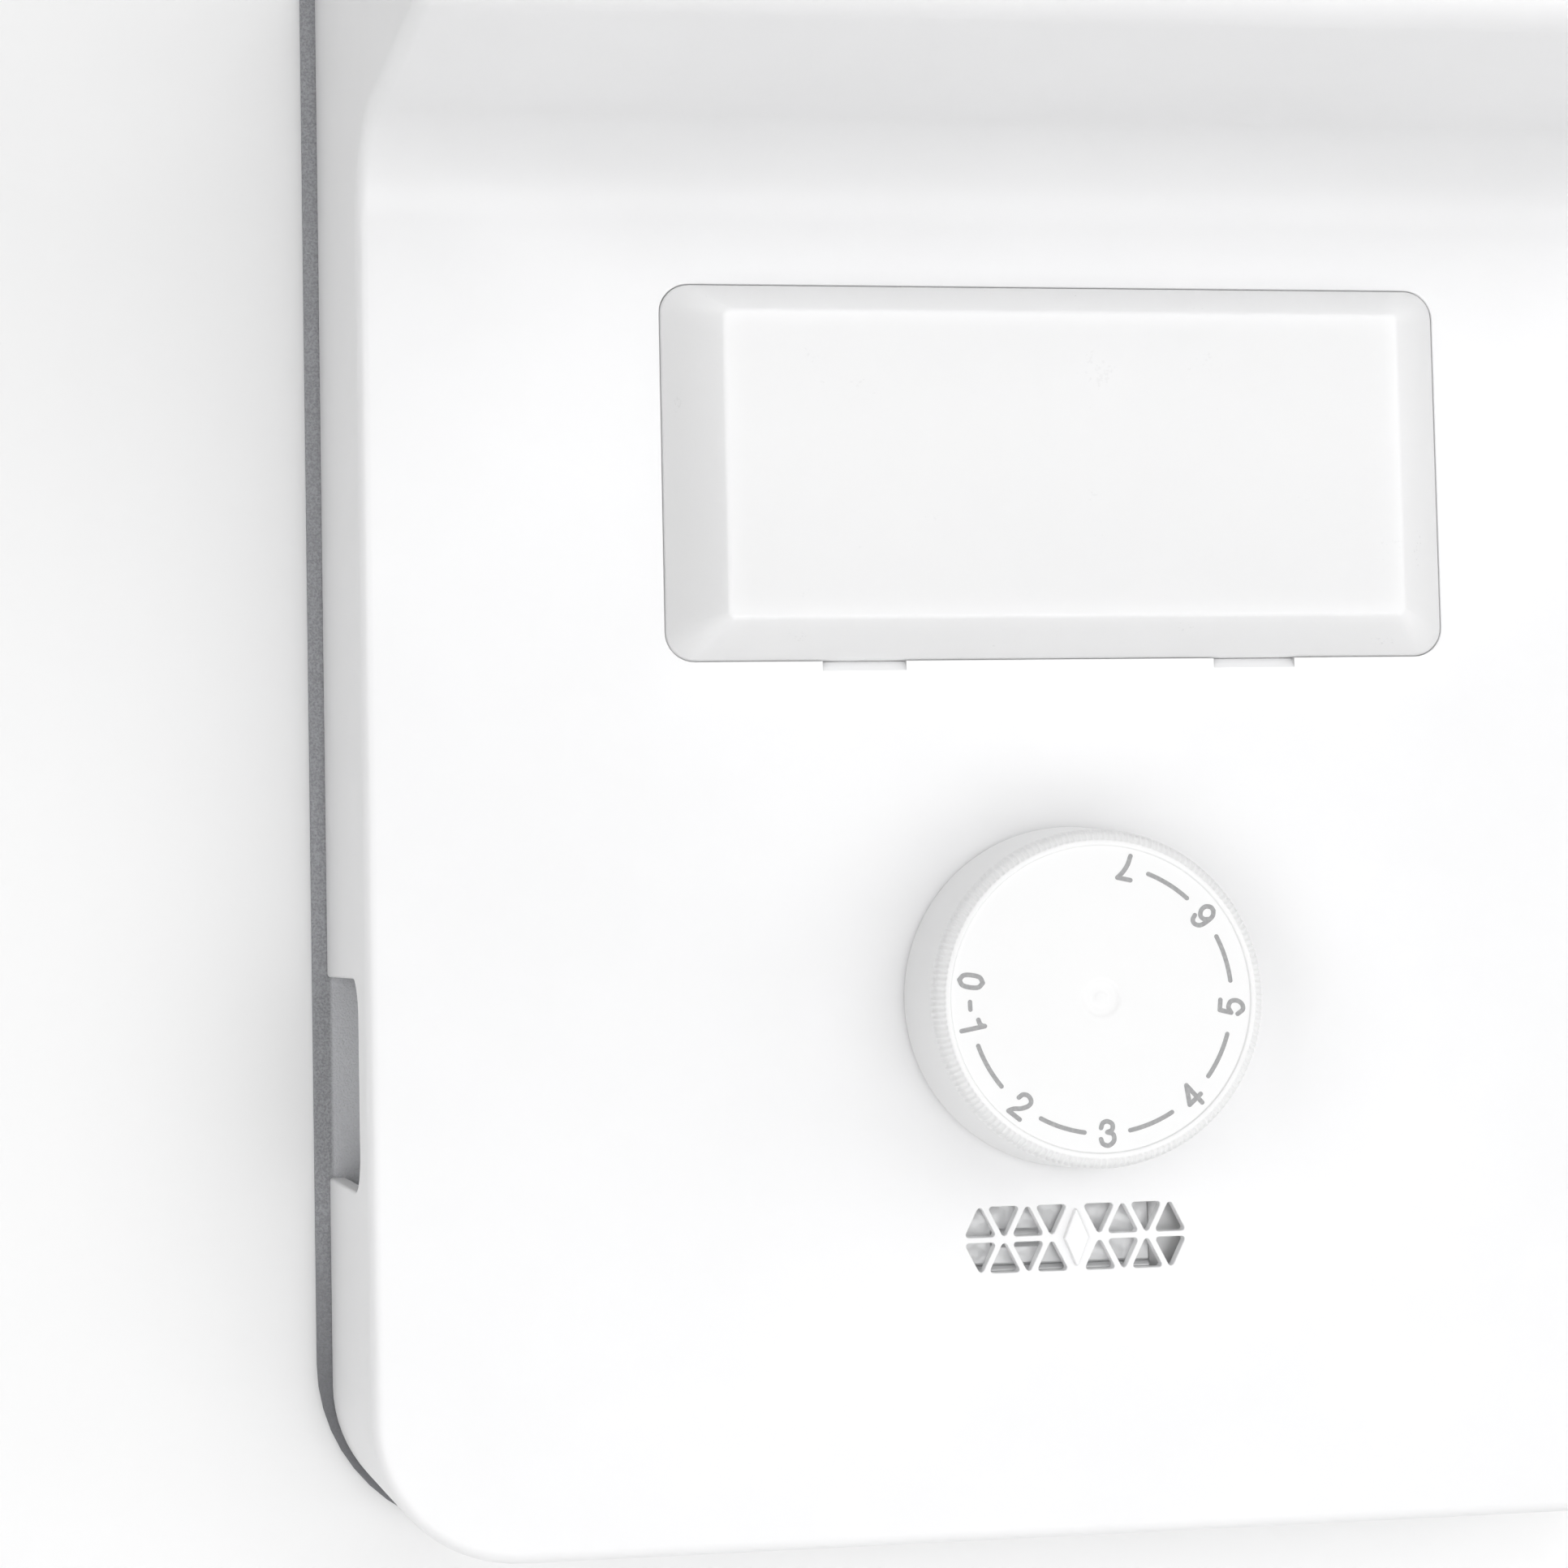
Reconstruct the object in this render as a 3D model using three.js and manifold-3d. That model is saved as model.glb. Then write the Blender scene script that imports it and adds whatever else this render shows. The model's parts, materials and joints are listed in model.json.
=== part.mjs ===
// Thermostat and lamp cover for the rear wall of a refrigerator compartment.
// Millimetres, +Z up. The wall is the plane y = 0 and the front faces -Y.
// The origin is on the wall, straight behind the axis of the control knob.
import * as THREE from 'three';
import { mergeVertices } from 'three/addons/utils/BufferGeometryUtils.js';
import Module from 'manifold-3d';

const wasm = await Module();
wasm.setup();

// ---- driving dimensions -------------------------------------------------------------
const GAP = 0.3;                  // clearance between neighbouring pieces
const WALL = 2.2;                 // wall thickness of the moulded cover
const FACE_Y = -45;               // plane of the cover's front face
const FACE_HALF = 107;            // half width of the front face
const DRAFT = 0.15;               // sideways draft of the side walls, per mm of depth
const BOTTOM_Z = -82.3;           // lower edge of the front face
const BOTTOM_DRAFT = 0.024;       // downward draft of the bottom wall, per mm of depth
const CORNER_R = 22;              // lower corners
const TOP_Z = 172;                // top of the cover, under the ceiling of the compartment
const SWEEP_R = 15.5;             // concave sweep from the face into the overhang
const HOOD_Z = 132;               // underside of the overhang where the sweep ends
const HOOD_RISE = 2;              // rise of that underside towards its front edge
const HOOD_Y = -107;              // front of the overhang
const HOOD_EDGE_R = 6;            // rounded front edges of the overhang

const RING_T = 2;                 // thickness of the foam gasket on the wall
const RING_PROUD = 2.2;           // how far the gasket shows round the cover
const RING_CORNER_R = 28;         // its outer corner radius, which tucks it under the cover's corner
const RING_HALF_INNER = 106.5;    // half width of the gasket's window
const PANEL_T = 9;                // thickness of the insulating back panel

const LENS_HALF = 61.3;           // half width of the lamp cover
const LENS_LOW = 52.1;
const LENS_HIGH = 109.9;
const LENS_PROUD = 8.8;
const LENS_R = 4.4;
const LENS_BEVEL_X = 8.9;         // width of the bevel at the ends
const LENS_BEVEL_Z = 5.6;         // width of the bevel at top and bottom
const LENS_WALL = 1.6;
const LENS_SKIRT = 5.5;           // depth of the skirt behind the face
const CATCH_X = 30.8;             // middle of the catches and of the finger slots
const CATCH_SLOT = 13;            // width of a finger slot
const CATCH_SLOT_H = 1.4;
const HOOK_X = 38;

const KNOB_R = 26;                // radius of the knob at the face
const KNOB_FRONT_R = 24.6;        // radius at the front rim
const KNOB_FLAT_R = 22.6;         // flat front
const KNOB_H = 20.3;
const KNOB_WALL = 2.2;
const KNOB_MIN_DEG = -168;        // clockwise stop, coldest setting
const KNOB_MAX_DEG = 98;          // anticlockwise stop, off

const GRILLE_MID_Z = -36.8;       // rib between the two rows of holes
const GRILLE_RIB = 0.85;
const HOLE_PITCH = 3.72;
const HOLE_BASE = 5;
const HOLE_H = 4.6;
const HOLE_R = 0.45;
const HOLES_PER_SIDE = 4;
const POINTER_HALF_W = 2;
const POINTER_HALF_H = 4.6;
const POINTER_PROUD = 0.8;

const OUTLET_FRONT_Y = -36;       // front edge of the side air outlets
const OUTLET_TOP = 4.9;
const OUTLET_BOTTOM = -27.6;
const OUTLET_R = 6;

const PLATE_T = 1.2;              // sheet steel of the thermostat's frame
const FRAME_Y = -40.4;            // rear face of the frame's front plate
const FRAME_HALF = 20;
const LEVER_PIVOT_Z = 13;
const RANGE_LEVER_Y = -31;
const MAIN_LEVER_Y = -17.8;
const CAM_Y = -37.5;              // front face of the cam disc
const CAM_R = 9;
const CAM_RISE_PER_DEG = 0.01;

const LAMP_Z = 81;
const LAMP_Y = -28;
const TRAY_FRONT_Y = -38.5;
const TRAY_HALF = 63;
const TRAY_WALL = 1.5;

// ---- colours and finishes -----------------------------------------------------------
const finish = (color, roughness, metalness) => ({ color, roughness, metalness });
const WHITE_PLASTIC = finish(0xf4f4f3, 0.42, 0);
const MILKY = finish(0xeef0f2, 0.3, 0);
const FOAM = finish(0xf6f6f4, 0.9, 0);
const GREY_FOAM = finish(0x9c9da0, 0.95, 0);
const STEEL = finish(0xb4b6b8, 0.35, 1);
const BRASS = finish(0xc8a659, 0.3, 1);
const COPPER = finish(0xb87350, 0.35, 1);
const BLACK_PLASTIC = finish(0x2b2c2e, 0.5, 0);
const CREAM_PLASTIC = finish(0xe9e4d6, 0.4, 0);
const FOIL = finish(0xd0d2d4, 0.25, 1);
const GLASS = finish(0xf2f5f7, 0.05, 0);

// ---- solids -------------------------------------------------------------------------
function bare(geometry) {
  const g = geometry.clone();
  g.deleteAttribute('normal');
  g.deleteAttribute('uv');
  return mergeVertices(g, 1e-5);
}

function turnedOut(geometry) {
  const p = geometry.attributes.position.array;
  const t = Uint32Array.from(geometry.index.array);
  let volume = 0;
  for (let i = 0; i < t.length; i += 3) {
    const [a, b, c] = [t[i] * 3, t[i + 1] * 3, t[i + 2] * 3];
    volume += p[a] * (p[b + 1] * p[c + 2] - p[b + 2] * p[c + 1])
      - p[a + 1] * (p[b] * p[c + 2] - p[b + 2] * p[c])
      + p[a + 2] * (p[b] * p[c + 1] - p[b + 1] * p[c]);
  }
  if (volume < 0) {
    for (let i = 0; i < t.length; i += 3) [t[i], t[i + 1]] = [t[i + 1], t[i]];
  }
  return t;
}

function solid(geometry) {
  const g = bare(geometry);
  return new wasm.Manifold(new wasm.Mesh({
    numProp: 3,
    vertProperties: Float32Array.from(g.attributes.position.array),
    triVerts: turnedOut(g),
  }));
}

function surfaceOf(body) {
  const mesh = body.getMesh();
  const g = new THREE.BufferGeometry();
  g.setAttribute('position', new THREE.BufferAttribute(mesh.vertProperties, 3));
  g.setIndex(new THREE.BufferAttribute(mesh.triVerts, 1));
  g.computeVertexNormals();
  return g;
}

const join = (...bodies) => bodies.reduce((a, b) => a.add(b));
const cut = (body, ...tools) => tools.reduce((a, b) => a.subtract(b), body);

function box(x0, x1, y0, y1, z0, z1) {
  const g = new THREE.BoxGeometry(x1 - x0, y1 - y0, z1 - z0);
  g.translate((x0 + x1) / 2, (y0 + y1) / 2, (z0 + z1) / 2);
  return solid(g);
}

// A shape drawn in X and Z, carried from y = back forward to y = front.
function plateGeometry(shape, back, front, steps = 1, curveSegments = 8) {
  const depth = back - front;
  const g = new THREE.ExtrudeGeometry(shape, { depth, steps, curveSegments, bevelEnabled: false });
  g.rotateX(Math.PI / 2);
  g.translate(0, back, 0);
  return g;
}

const plate = (shape, back, front, curveSegments = 8) =>
  solid(plateGeometry(shape, back, front, 1, curveSegments));

// A shape drawn in Y and Z, carried along X from x0 to x1.
function bar(shape, x0, x1, curveSegments = 8) {
  const g = new THREE.ExtrudeGeometry(shape, { depth: x1 - x0, curveSegments, bevelEnabled: false });
  g.rotateY(Math.PI / 2);
  g.rotateX(Math.PI / 2);
  g.translate(x0, 0, 0);
  return solid(g);
}

function rod(radius, from, to, sides = 20, endRadius = radius) {
  const a = new THREE.Vector3(...from);
  const b = new THREE.Vector3(...to);
  const along = b.clone().sub(a);
  const g = new THREE.CylinderGeometry(endRadius, radius, along.length(), sides);
  g.applyQuaternion(new THREE.Quaternion().setFromUnitVectors(
    new THREE.Vector3(0, 1, 0), along.clone().normalize()));
  const middle = a.add(b).multiplyScalar(0.5);
  g.translate(middle.x, middle.y, middle.z);
  return solid(g);
}

// Rings of points with equal counts, skinned one to the next and capped at both ends.
function loft(rings) {
  const n = rings[0].length;
  const points = rings.flat();
  const index = [];
  for (let r = 0; r + 1 < rings.length; r += 1) {
    for (let i = 0; i < n; i += 1) {
      const a = r * n + i;
      const b = r * n + (i + 1) % n;
      index.push(a, b, a + n, b, b + n, a + n);
    }
  }
  const last = (rings.length - 1) * n;
  for (let i = 1; i + 1 < n; i += 1) {
    index.push(0, i + 1, i, last, last + i, last + i + 1);
  }
  const g = new THREE.BufferGeometry();
  g.setAttribute('position', new THREE.Float32BufferAttribute(points.flatMap((p) => p.toArray()), 3));
  g.setIndex(index);
  return solid(g);
}

// Profile points are [radius, y]; the profile is closed and turned about the Y axis through (x, z).
function turned(profile, segments = 48, x = 0, z = 0) {
  const closed = [...profile, profile[0]].map(([r, y]) => new THREE.Vector2(r, y));
  const g = new THREE.LatheGeometry(closed, segments);
  g.translate(x, 0, z);
  return solid(g);
}

function tube(route, radius, steps, sides = 8) {
  const circle = new THREE.Shape();
  for (let i = 0; i < sides; i += 1) {
    const a = (i / sides) * 2 * Math.PI;
    const method = i === 0 ? 'moveTo' : 'lineTo';
    circle[method](radius * Math.cos(a), radius * Math.sin(a));
  }
  const path = new THREE.CatmullRomCurve3(route.map((p) => new THREE.Vector3(...p)));
  return solid(new THREE.ExtrudeGeometry(circle, { steps, extrudePath: path }));
}

function roundedRect(x0, x1, z0, z1, r) {
  const s = new THREE.Shape();
  s.absarc(x1 - r, z0 + r, r, -Math.PI / 2, 0);
  s.absarc(x1 - r, z1 - r, r, 0, Math.PI / 2);
  s.absarc(x0 + r, z1 - r, r, Math.PI / 2, Math.PI);
  s.absarc(x0 + r, z0 + r, r, Math.PI, 1.5 * Math.PI);
  return s;
}

// ---- the outside form of the cover --------------------------------------------------
// Outline seen from the front: square at the top, round at the two lower corners.
function outline(half, bottom, top, radius) {
  const s = new THREE.Shape();
  s.moveTo(half, top);
  s.lineTo(-half, top);
  s.absarc(-half + radius, bottom + radius, radius, Math.PI, 1.5 * Math.PI);
  s.absarc(half - radius, bottom + radius, radius, 1.5 * Math.PI, 2 * Math.PI);
  return s;
}

// Widens a front outline towards the wall, as the mould's draft does.
function drafted(shape, back, front) {
  const g = plateGeometry(shape, back, front, 1, 14);
  const p = g.attributes.position;
  for (let i = 0; i < p.count; i += 1) {
    const behind = p.getY(i) - FACE_Y;
    p.setX(i, p.getX(i) * (1 + DRAFT * behind / FACE_HALF));
    if (p.getZ(i) < 0) p.setZ(i, p.getZ(i) * (1 - BOTTOM_DRAFT * behind / BOTTOM_Z));
  }
  return solid(g);
}

// Side profile, inset by t: the upright face, the concave sweep and the overhang.
function sideProfile(t, back) {
  const s = new THREE.Shape();
  const sweepY = FACE_Y - SWEEP_R;
  const sweepZ = HOOD_Z - SWEEP_R;
  const r = HOOD_EDGE_R - t;
  const frontY = HOOD_Y + t;
  s.moveTo(back, BOTTOM_Z - 10);
  s.lineTo(FACE_Y + t, BOTTOM_Z - 10);
  s.absarc(sweepY, sweepZ, SWEEP_R + t, 0, Math.PI / 2);
  s.absarc(frontY + r, HOOD_Z + HOOD_RISE + t + r, r, 1.5 * Math.PI, Math.PI, true);
  s.absarc(frontY + r, TOP_Z - t - r, r, Math.PI, Math.PI / 2, true);
  s.lineTo(back, TOP_Z - t);
  return s;
}

function coverForm(t, back) {
  const form = drafted(
    outline(FACE_HALF - t, BOTTOM_Z + t, TOP_Z - t, CORNER_R - t), back, HOOD_Y - 5);
  return form.intersect(bar(sideProfile(t, back), -FACE_HALF - 30, FACE_HALF + 30, 10));
}

const rearHalf = (y) => FACE_HALF + DRAFT * (y - FACE_Y);

// ---- the grille ---------------------------------------------------------------------
// A triangle with rounded corners, base up or base down, its base at z = baseZ.
function triangleHole(x, baseZ, up) {
  const apex = up ? HOLE_H : -HOLE_H;
  const corners = [
    new THREE.Vector2(x - HOLE_BASE / 2, baseZ),
    new THREE.Vector2(x + HOLE_BASE / 2, baseZ),
    new THREE.Vector2(x, baseZ + apex * 1.08),
  ];
  const s = new THREE.Shape();
  corners.forEach((corner, i) => {
    const before = corners[(i + 2) % 3].clone().sub(corner).normalize();
    const after = corners[(i + 1) % 3].clone().sub(corner).normalize();
    const back = HOLE_R / Math.tan(Math.acos(before.dot(after)) / 2);
    const a = corner.clone().addScaledVector(before, back);
    const b = corner.clone().addScaledVector(after, back);
    s[i === 0 ? 'moveTo' : 'lineTo'](a.x, a.y);
    s.quadraticCurveTo(corner.x, corner.y, b.x, b.y);
  });
  return plate(s, FACE_Y + WALL + 1, FACE_Y - 1, 3);
}

function grilleHoles() {
  const holes = [];
  for (const side of [-1, 1]) {
    for (let i = 0; i < HOLES_PER_SIDE; i += 1) {
      const x = side * (i + 1) * HOLE_PITCH;
      const wideTop = i % 2 === 0;
      const topRow = GRILLE_MID_Z + GRILLE_RIB / 2;
      const bottomRow = GRILLE_MID_Z - GRILLE_RIB / 2;
      holes.push(triangleHole(x, wideTop ? topRow + HOLE_H : topRow, !wideTop));
      holes.push(triangleHole(x, wideTop ? bottomRow - HOLE_H : bottomRow, wideTop));
    }
  }
  return holes;
}

function pointer() {
  const s = new THREE.Shape();
  s.moveTo(0, GRILLE_MID_Z + POINTER_HALF_H);
  s.lineTo(-POINTER_HALF_W, GRILLE_MID_Z);
  s.lineTo(0, GRILLE_MID_Z - POINTER_HALF_H);
  s.lineTo(POINTER_HALF_W, GRILLE_MID_Z);
  return plate(s, FACE_Y + 1, FACE_Y - POINTER_PROUD);
}

// ---- pieces -------------------------------------------------------------------------
const object = new THREE.Group();

function add(name, body, look) {
  const mesh = new THREE.Mesh(surfaceOf(body), new THREE.MeshStandardMaterial(look));
  mesh.name = name;
  object.add(mesh);
}

function frontCover() {
  const shell = coverForm(0, 0).subtract(coverForm(WALL, 5));
  const rear = box(-130, 130, -RING_T - GAP, 10, -100, TOP_Z + 10);
  const lensHole = plate(
    roundedRect(-LENS_HALF - GAP, LENS_HALF + GAP, LENS_LOW - GAP, LENS_HIGH + GAP, LENS_R + GAP),
    FACE_Y + WALL + 1, FACE_Y - 1);
  const slots = [-CATCH_X, CATCH_X].map((x) => box(x - CATCH_SLOT / 2, x + CATCH_SLOT / 2,
    FACE_Y - 1, FACE_Y + WALL + 1, LENS_LOW - GAP - CATCH_SLOT_H, LENS_LOW + 1));
  const bushHole = rod(9, [0, FACE_Y - 1, 0], [0, FACE_Y + WALL + 1, 0], 32);
  const screwHoles = [-13, 13].map((x) => rod(1.8, [x, FACE_Y - 1, 0], [x, FACE_Y + WALL + 1, 0], 12));
  const outletShape = new THREE.Shape();
  outletShape.moveTo(5, OUTLET_BOTTOM);
  outletShape.lineTo(5, OUTLET_TOP);
  outletShape.absarc(OUTLET_FRONT_Y + OUTLET_R, OUTLET_TOP - OUTLET_R, OUTLET_R, Math.PI / 2, Math.PI);
  outletShape.absarc(OUTLET_FRONT_Y + OUTLET_R, OUTLET_BOTTOM + OUTLET_R, OUTLET_R,
    Math.PI, 1.5 * Math.PI);
  const outlets = [bar(outletShape, -130, -100), bar(outletShape, 100, 130)];
  const body = cut(shell, rear, lensHole, ...slots, bushHole, ...screwHoles, ...outlets,
    ...grilleHoles());
  return body.add(pointer());
}

function rearGasket() {
  const half = rearHalf(0) + RING_PROUD;
  const outer = outline(half, BOTTOM_Z + BOTTOM_DRAFT * FACE_Y - RING_PROUD, TOP_Z, RING_CORNER_R);
  const inner = outline(RING_HALF_INNER, BOTTOM_Z + 7, TOP_Z - 9, CORNER_R - 4);
  return plate(outer, 0, -RING_T).subtract(plate(inner, 5, -RING_T - 5));
}

const INLET = { x0: 58, x1: 96, z0: -26, z1: 3 };
const PLUG = { x0: 71, x1: 93, z0: 122, z1: 136 };

function backPanel() {
  const body = plate(
    outline(RING_HALF_INNER - 0.5, BOTTOM_Z + 7.5, TOP_Z - 9.5, CORNER_R - 4.5), 0, -PANEL_T);
  const inlets = [-1, 1].map((s) => box(Math.min(s * INLET.x0, s * INLET.x1),
    Math.max(s * INLET.x0, s * INLET.x1), -PANEL_T - 1, 1, INLET.z0, INLET.z1));
  const plugHole = box(PLUG.x0 - 0.5, PLUG.x1 + 0.5, -PANEL_T - 1, 1, PLUG.z0 - 0.5, PLUG.z1 + 0.5);
  const screwHoles = [-48, 48].map((x) => rod(2.2, [x, -PANEL_T - 1, LAMP_Z], [x, 1, LAMP_Z], 12));
  return cut(body, ...inlets, plugHole, ...screwHoles);
}

function airDuct(side) {
  const span = (a, b) => (side > 0 ? [a, b] : [-b, -a]);
  const block = box(...span(50, 104), FACE_Y + WALL + 1, -PANEL_T - GAP, -34, 11);
  const channel = box(...span(56, 110), FACE_Y + WALL + 5, 5, -29, 6);
  return block.subtract(channel);
}

// Rounded rectangle as a ring of points at depth y.
function rectRing(half, low, high, r, y, perCorner = 5) {
  const points = [];
  const centres = [[half - r, low + r, -90], [half - r, high - r, 0],
    [-half + r, high - r, 90], [-half + r, low + r, 180]];
  for (const [x, z, start] of centres) {
    for (let i = 0; i < perCorner; i += 1) {
      const a = THREE.MathUtils.degToRad(start + (90 * i) / (perCorner - 1));
      points.push(new THREE.Vector3(x + r * Math.cos(a), y, z + r * Math.sin(a)));
    }
  }
  return points;
}

function lensForm(t, backY) {
  const frontY = FACE_Y - LENS_PROUD + t;
  return loft([
    rectRing(LENS_HALF - t, LENS_LOW + t, LENS_HIGH - t, Math.max(LENS_R - t, 1), backY),
    rectRing(LENS_HALF - t, LENS_LOW + t, LENS_HIGH - t, Math.max(LENS_R - t, 1), FACE_Y),
    rectRing(LENS_HALF - LENS_BEVEL_X - t, LENS_LOW + LENS_BEVEL_Z + t, LENS_HIGH - LENS_BEVEL_Z - t,
      1.2, frontY),
  ]);
}

function lampCover() {
  const backY = FACE_Y + LENS_SKIRT;
  const pan = lensForm(0, backY).subtract(lensForm(LENS_WALL, backY + 5));
  const behind = FACE_Y + WALL + GAP + 0.2;
  const hooks = [-HOOK_X, HOOK_X].map((x) =>
    box(x - 6, x + 6, behind, behind + 1.8, LENS_HIGH - 1, LENS_HIGH + 3.3));
  const catches = [-CATCH_X, CATCH_X].map((x) =>
    box(x - 5, x + 5, behind, behind + 1.7, LENS_LOW - 1.1, LENS_LOW + 1));
  return join(pan, ...hooks, ...catches);
}

function controlKnob() {
  const baseY = FACE_Y - 0.4;
  const frontY = FACE_Y - KNOB_H;
  const outside = turned([[0, baseY], [KNOB_R, baseY], [KNOB_R - 0.3, baseY - 5],
    [KNOB_FRONT_R + 0.4, frontY + 4], [KNOB_FRONT_R, frontY + 1], [KNOB_FLAT_R, frontY], [0, frontY]], 64);
  const hollow = turned([[0, baseY + 2], [KNOB_R - KNOB_WALL, baseY + 2],
    [KNOB_FRONT_R - KNOB_WALL, frontY + KNOB_WALL], [0, frontY + KNOB_WALL]], 64);
  const hub = rod(6, [0, baseY - 4, 0], [0, frontY + KNOB_WALL - 0.5, 0], 32);
  const bore = rod(3 + GAP, [0, baseY, 0], [0, frontY + 4.5, 0], 24);
  return join(cut(outside, hollow), hub).subtract(bore);
}

function knobClip() {
  const ring = turned([[6.3, -56], [7.1, -56], [7.1, -53], [6.3, -53]], 32);
  return ring.subtract(box(-1.5, 1.5, -60, -50, 0, 10));
}

function thermostatShaft() {
  const bodyRod = rod(3, [0, -60, 0], [0, CAM_Y + 3.6, 0], 24);
  const flat = box(-4, 4, -61, -51, 1.9, 4);
  return bodyRod.subtract(flat);
}

function rampCam() {
  const disc = turned([[3 + GAP, CAM_Y], [CAM_R, CAM_Y], [CAM_R, CAM_Y + 1.6], [3 + GAP, CAM_Y + 1.6]], 36);
  const rings = [];
  for (let deg = -195; deg <= 85; deg += 14) {
    const a = THREE.MathUtils.degToRad(deg);
    const rise = CAM_Y + 1.6 + 0.5 + CAM_RISE_PER_DEG * (deg + 195);
    const at = (r, y) => new THREE.Vector3(r * Math.cos(a), y, r * Math.sin(a));
    rings.push([at(4, CAM_Y + 1), at(8.6, CAM_Y + 1), at(8.6, rise), at(4, rise)]);
  }
  return join(disc, loft(rings));
}

function thermostatFrame() {
  const front = box(-FRAME_HALF, FRAME_HALF, FRAME_Y - PLATE_T, FRAME_Y, -22, 18);
  const sides = [-1, 1].map((s) => box(Math.min(s * FRAME_HALF, s * (FRAME_HALF - PLATE_T)),
    Math.max(s * FRAME_HALF, s * (FRAME_HALF - PLATE_T)), FRAME_Y - PLATE_T, -15, -22, 18));
  const bush = rod(5, [0, -48, 0], [0, FRAME_Y - 0.5, 0], 24);
  const bore = rod(3 + GAP, [0, -50, 0], [0, -30, 0], 24);
  const screwHoles = [-13, 13].map((x) => rod(1.7, [x, -45, 0], [x, -38, 0], 12));
  const rangeHole = rod(1.7, [0, -45, -14], [0, -38, -14], 12);
  const pins = [RANGE_LEVER_Y, MAIN_LEVER_Y].map((y) =>
    rod(1, [-FRAME_HALF + 0.5, y, LEVER_PIVOT_Z], [FRAME_HALF - 0.5, y, LEVER_PIVOT_Z], 12));
  return join(cut(join(front, ...sides, bush), bore, ...screwHoles, rangeHole), ...pins);
}

// A flat lever hanging from a rolled eye about a pin that lies along X.
function hangingLever(y, half, lowZ) {
  const blade = box(-half, half, y - 0.6, y + 0.6, lowZ, LEVER_PIVOT_Z - 1.6);
  const eye = rod(2.2, [-half, y, LEVER_PIVOT_Z], [half, y, LEVER_PIVOT_Z], 16);
  const hole = rod(1 + GAP, [-half - 1, y, LEVER_PIVOT_Z], [half + 1, y, LEVER_PIVOT_Z], 16);
  return join(blade, eye).subtract(hole);
}

function rangeLever() {
  const followerZ = -6.3;
  const camTop = CAM_Y + 1.6 + 0.5 + CAM_RISE_PER_DEG * (195 - 90);
  const follower = rod(1.2, [0, camTop + GAP, followerZ], [0, RANGE_LEVER_Y, followerZ], 12);
  const springHole = rod(5.4, [0, RANGE_LEVER_Y - 2, -14], [0, RANGE_LEVER_Y + 2, -14], 20);
  return join(hangingLever(RANGE_LEVER_Y, 9, -21), follower).subtract(springHole);
}

function mainLever() {
  const stem = rod(2, [0, MAIN_LEVER_Y, -4], [0, -14.4, -4], 16);
  return join(hangingLever(MAIN_LEVER_Y, 8, -20.5), stem);
}

function rangeSpring() {
  const coil = [];
  const turns = 6;
  const from = -35;
  const to = MAIN_LEVER_Y - 0.6 - GAP - 0.6;
  const steps = turns * 12;
  for (let i = 0; i <= steps; i += 1) {
    const a = (i / steps) * turns * 2 * Math.PI;
    coil.push([3.6 * Math.cos(a), from + (to - from) * (i / steps), -14 + 3.6 * Math.sin(a)]);
  }
  return tube(coil, 0.5, 66, 6);
}

function rangeScrew() {
  const head = rod(2.8, [0, -42.3, -14], [0, -41.9, -14], 16);
  const shank = rod(1.4, [0, -42, -14], [0, -37, -14], 12);
  return join(head, shank);
}

function bellows() {
  const z = -4;
  const profile = [[0, -14], [5, -14], [6, -13.4], [8, -14], [10, -13.4], [12.6, -13.4], [13, -12.9],
    [13, -10.4], [12.4, -9.7], [0, -9.7]];
  return turned(profile, 36, 0, z);
}

function capillary() {
  return tube([[13.6, -12, -4], [18, -12, -5], [22.5, -13, -8], [25, -17, -16], [27, -25, -27],
    [30, -34, -35], [28, -38.2, -38.5], [22, -38.6, -37.4], [10, -38.6, -37.2], [0, -38.6, -37.2],
    [-12, -38.6, -37.2], [-24, -38.6, -37.2], [-34, -38.6, -37.2]], 1, 54, 8);
}

function capillaryClip(x) {
  const saddle = box(x - 2, x + 2, FACE_Y + WALL + GAP, -36.6, -40.4, -34);
  const slot = rod(1 + GAP, [x - 5, -38.6, -37.2], [x + 5, -38.6, -37.2], 16);
  const mouth = box(x - 5, x + 5, -38.6, -30, -38.3, -36.1);
  return cut(saddle, slot, mouth);
}

function switchHousing() {
  const body = box(-15, 15, -33, -12.5, -38, -24);
  const bladeSlot = box(-3, 3, -27, -15, -28, -20);
  return body.subtract(bladeSlot);
}

function contactBlade() {
  const arm = box(-2.2, 2.2, -24.4, -23.8, -27, -22.6);
  const foot = box(-2.2, 2.2, -24.4, -20.2, -22.6, -22);
  return join(arm, foot);
}

const terminal = (x) => box(x - 3.1, x + 3.1, -23.4, -22.6, -47, -38.3);
const earthTab = () => box(FRAME_HALF + GAP, FRAME_HALF + 9, -26, -25.2, 6, 12);

// A screw with a cross-recessed pan head; its axis lies along Y.
function screw(x, z, headY, tipY, r) {
  const head = turned([[0, headY], [r * 1.9, headY], [r * 1.9, headY - 0.7], [r * 1.3, headY - 1.5],
    [0, headY - 1.6]], 20, x, z);
  const shank = rod(r, [x, headY - 0.3, z], [x, tipY - 2, z], 12);
  const tip = rod(r, [x, tipY - 2.1, z], [x, tipY, z], 12, 0.4);
  const cross = join(box(x - r, x + r, headY - 3, headY - 0.9, z - 0.3, z + 0.3),
    box(x - 0.3, x + 0.3, headY - 3, headY - 0.9, z - r, z + r));
  return join(head, shank, tip).subtract(cross);
}

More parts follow.
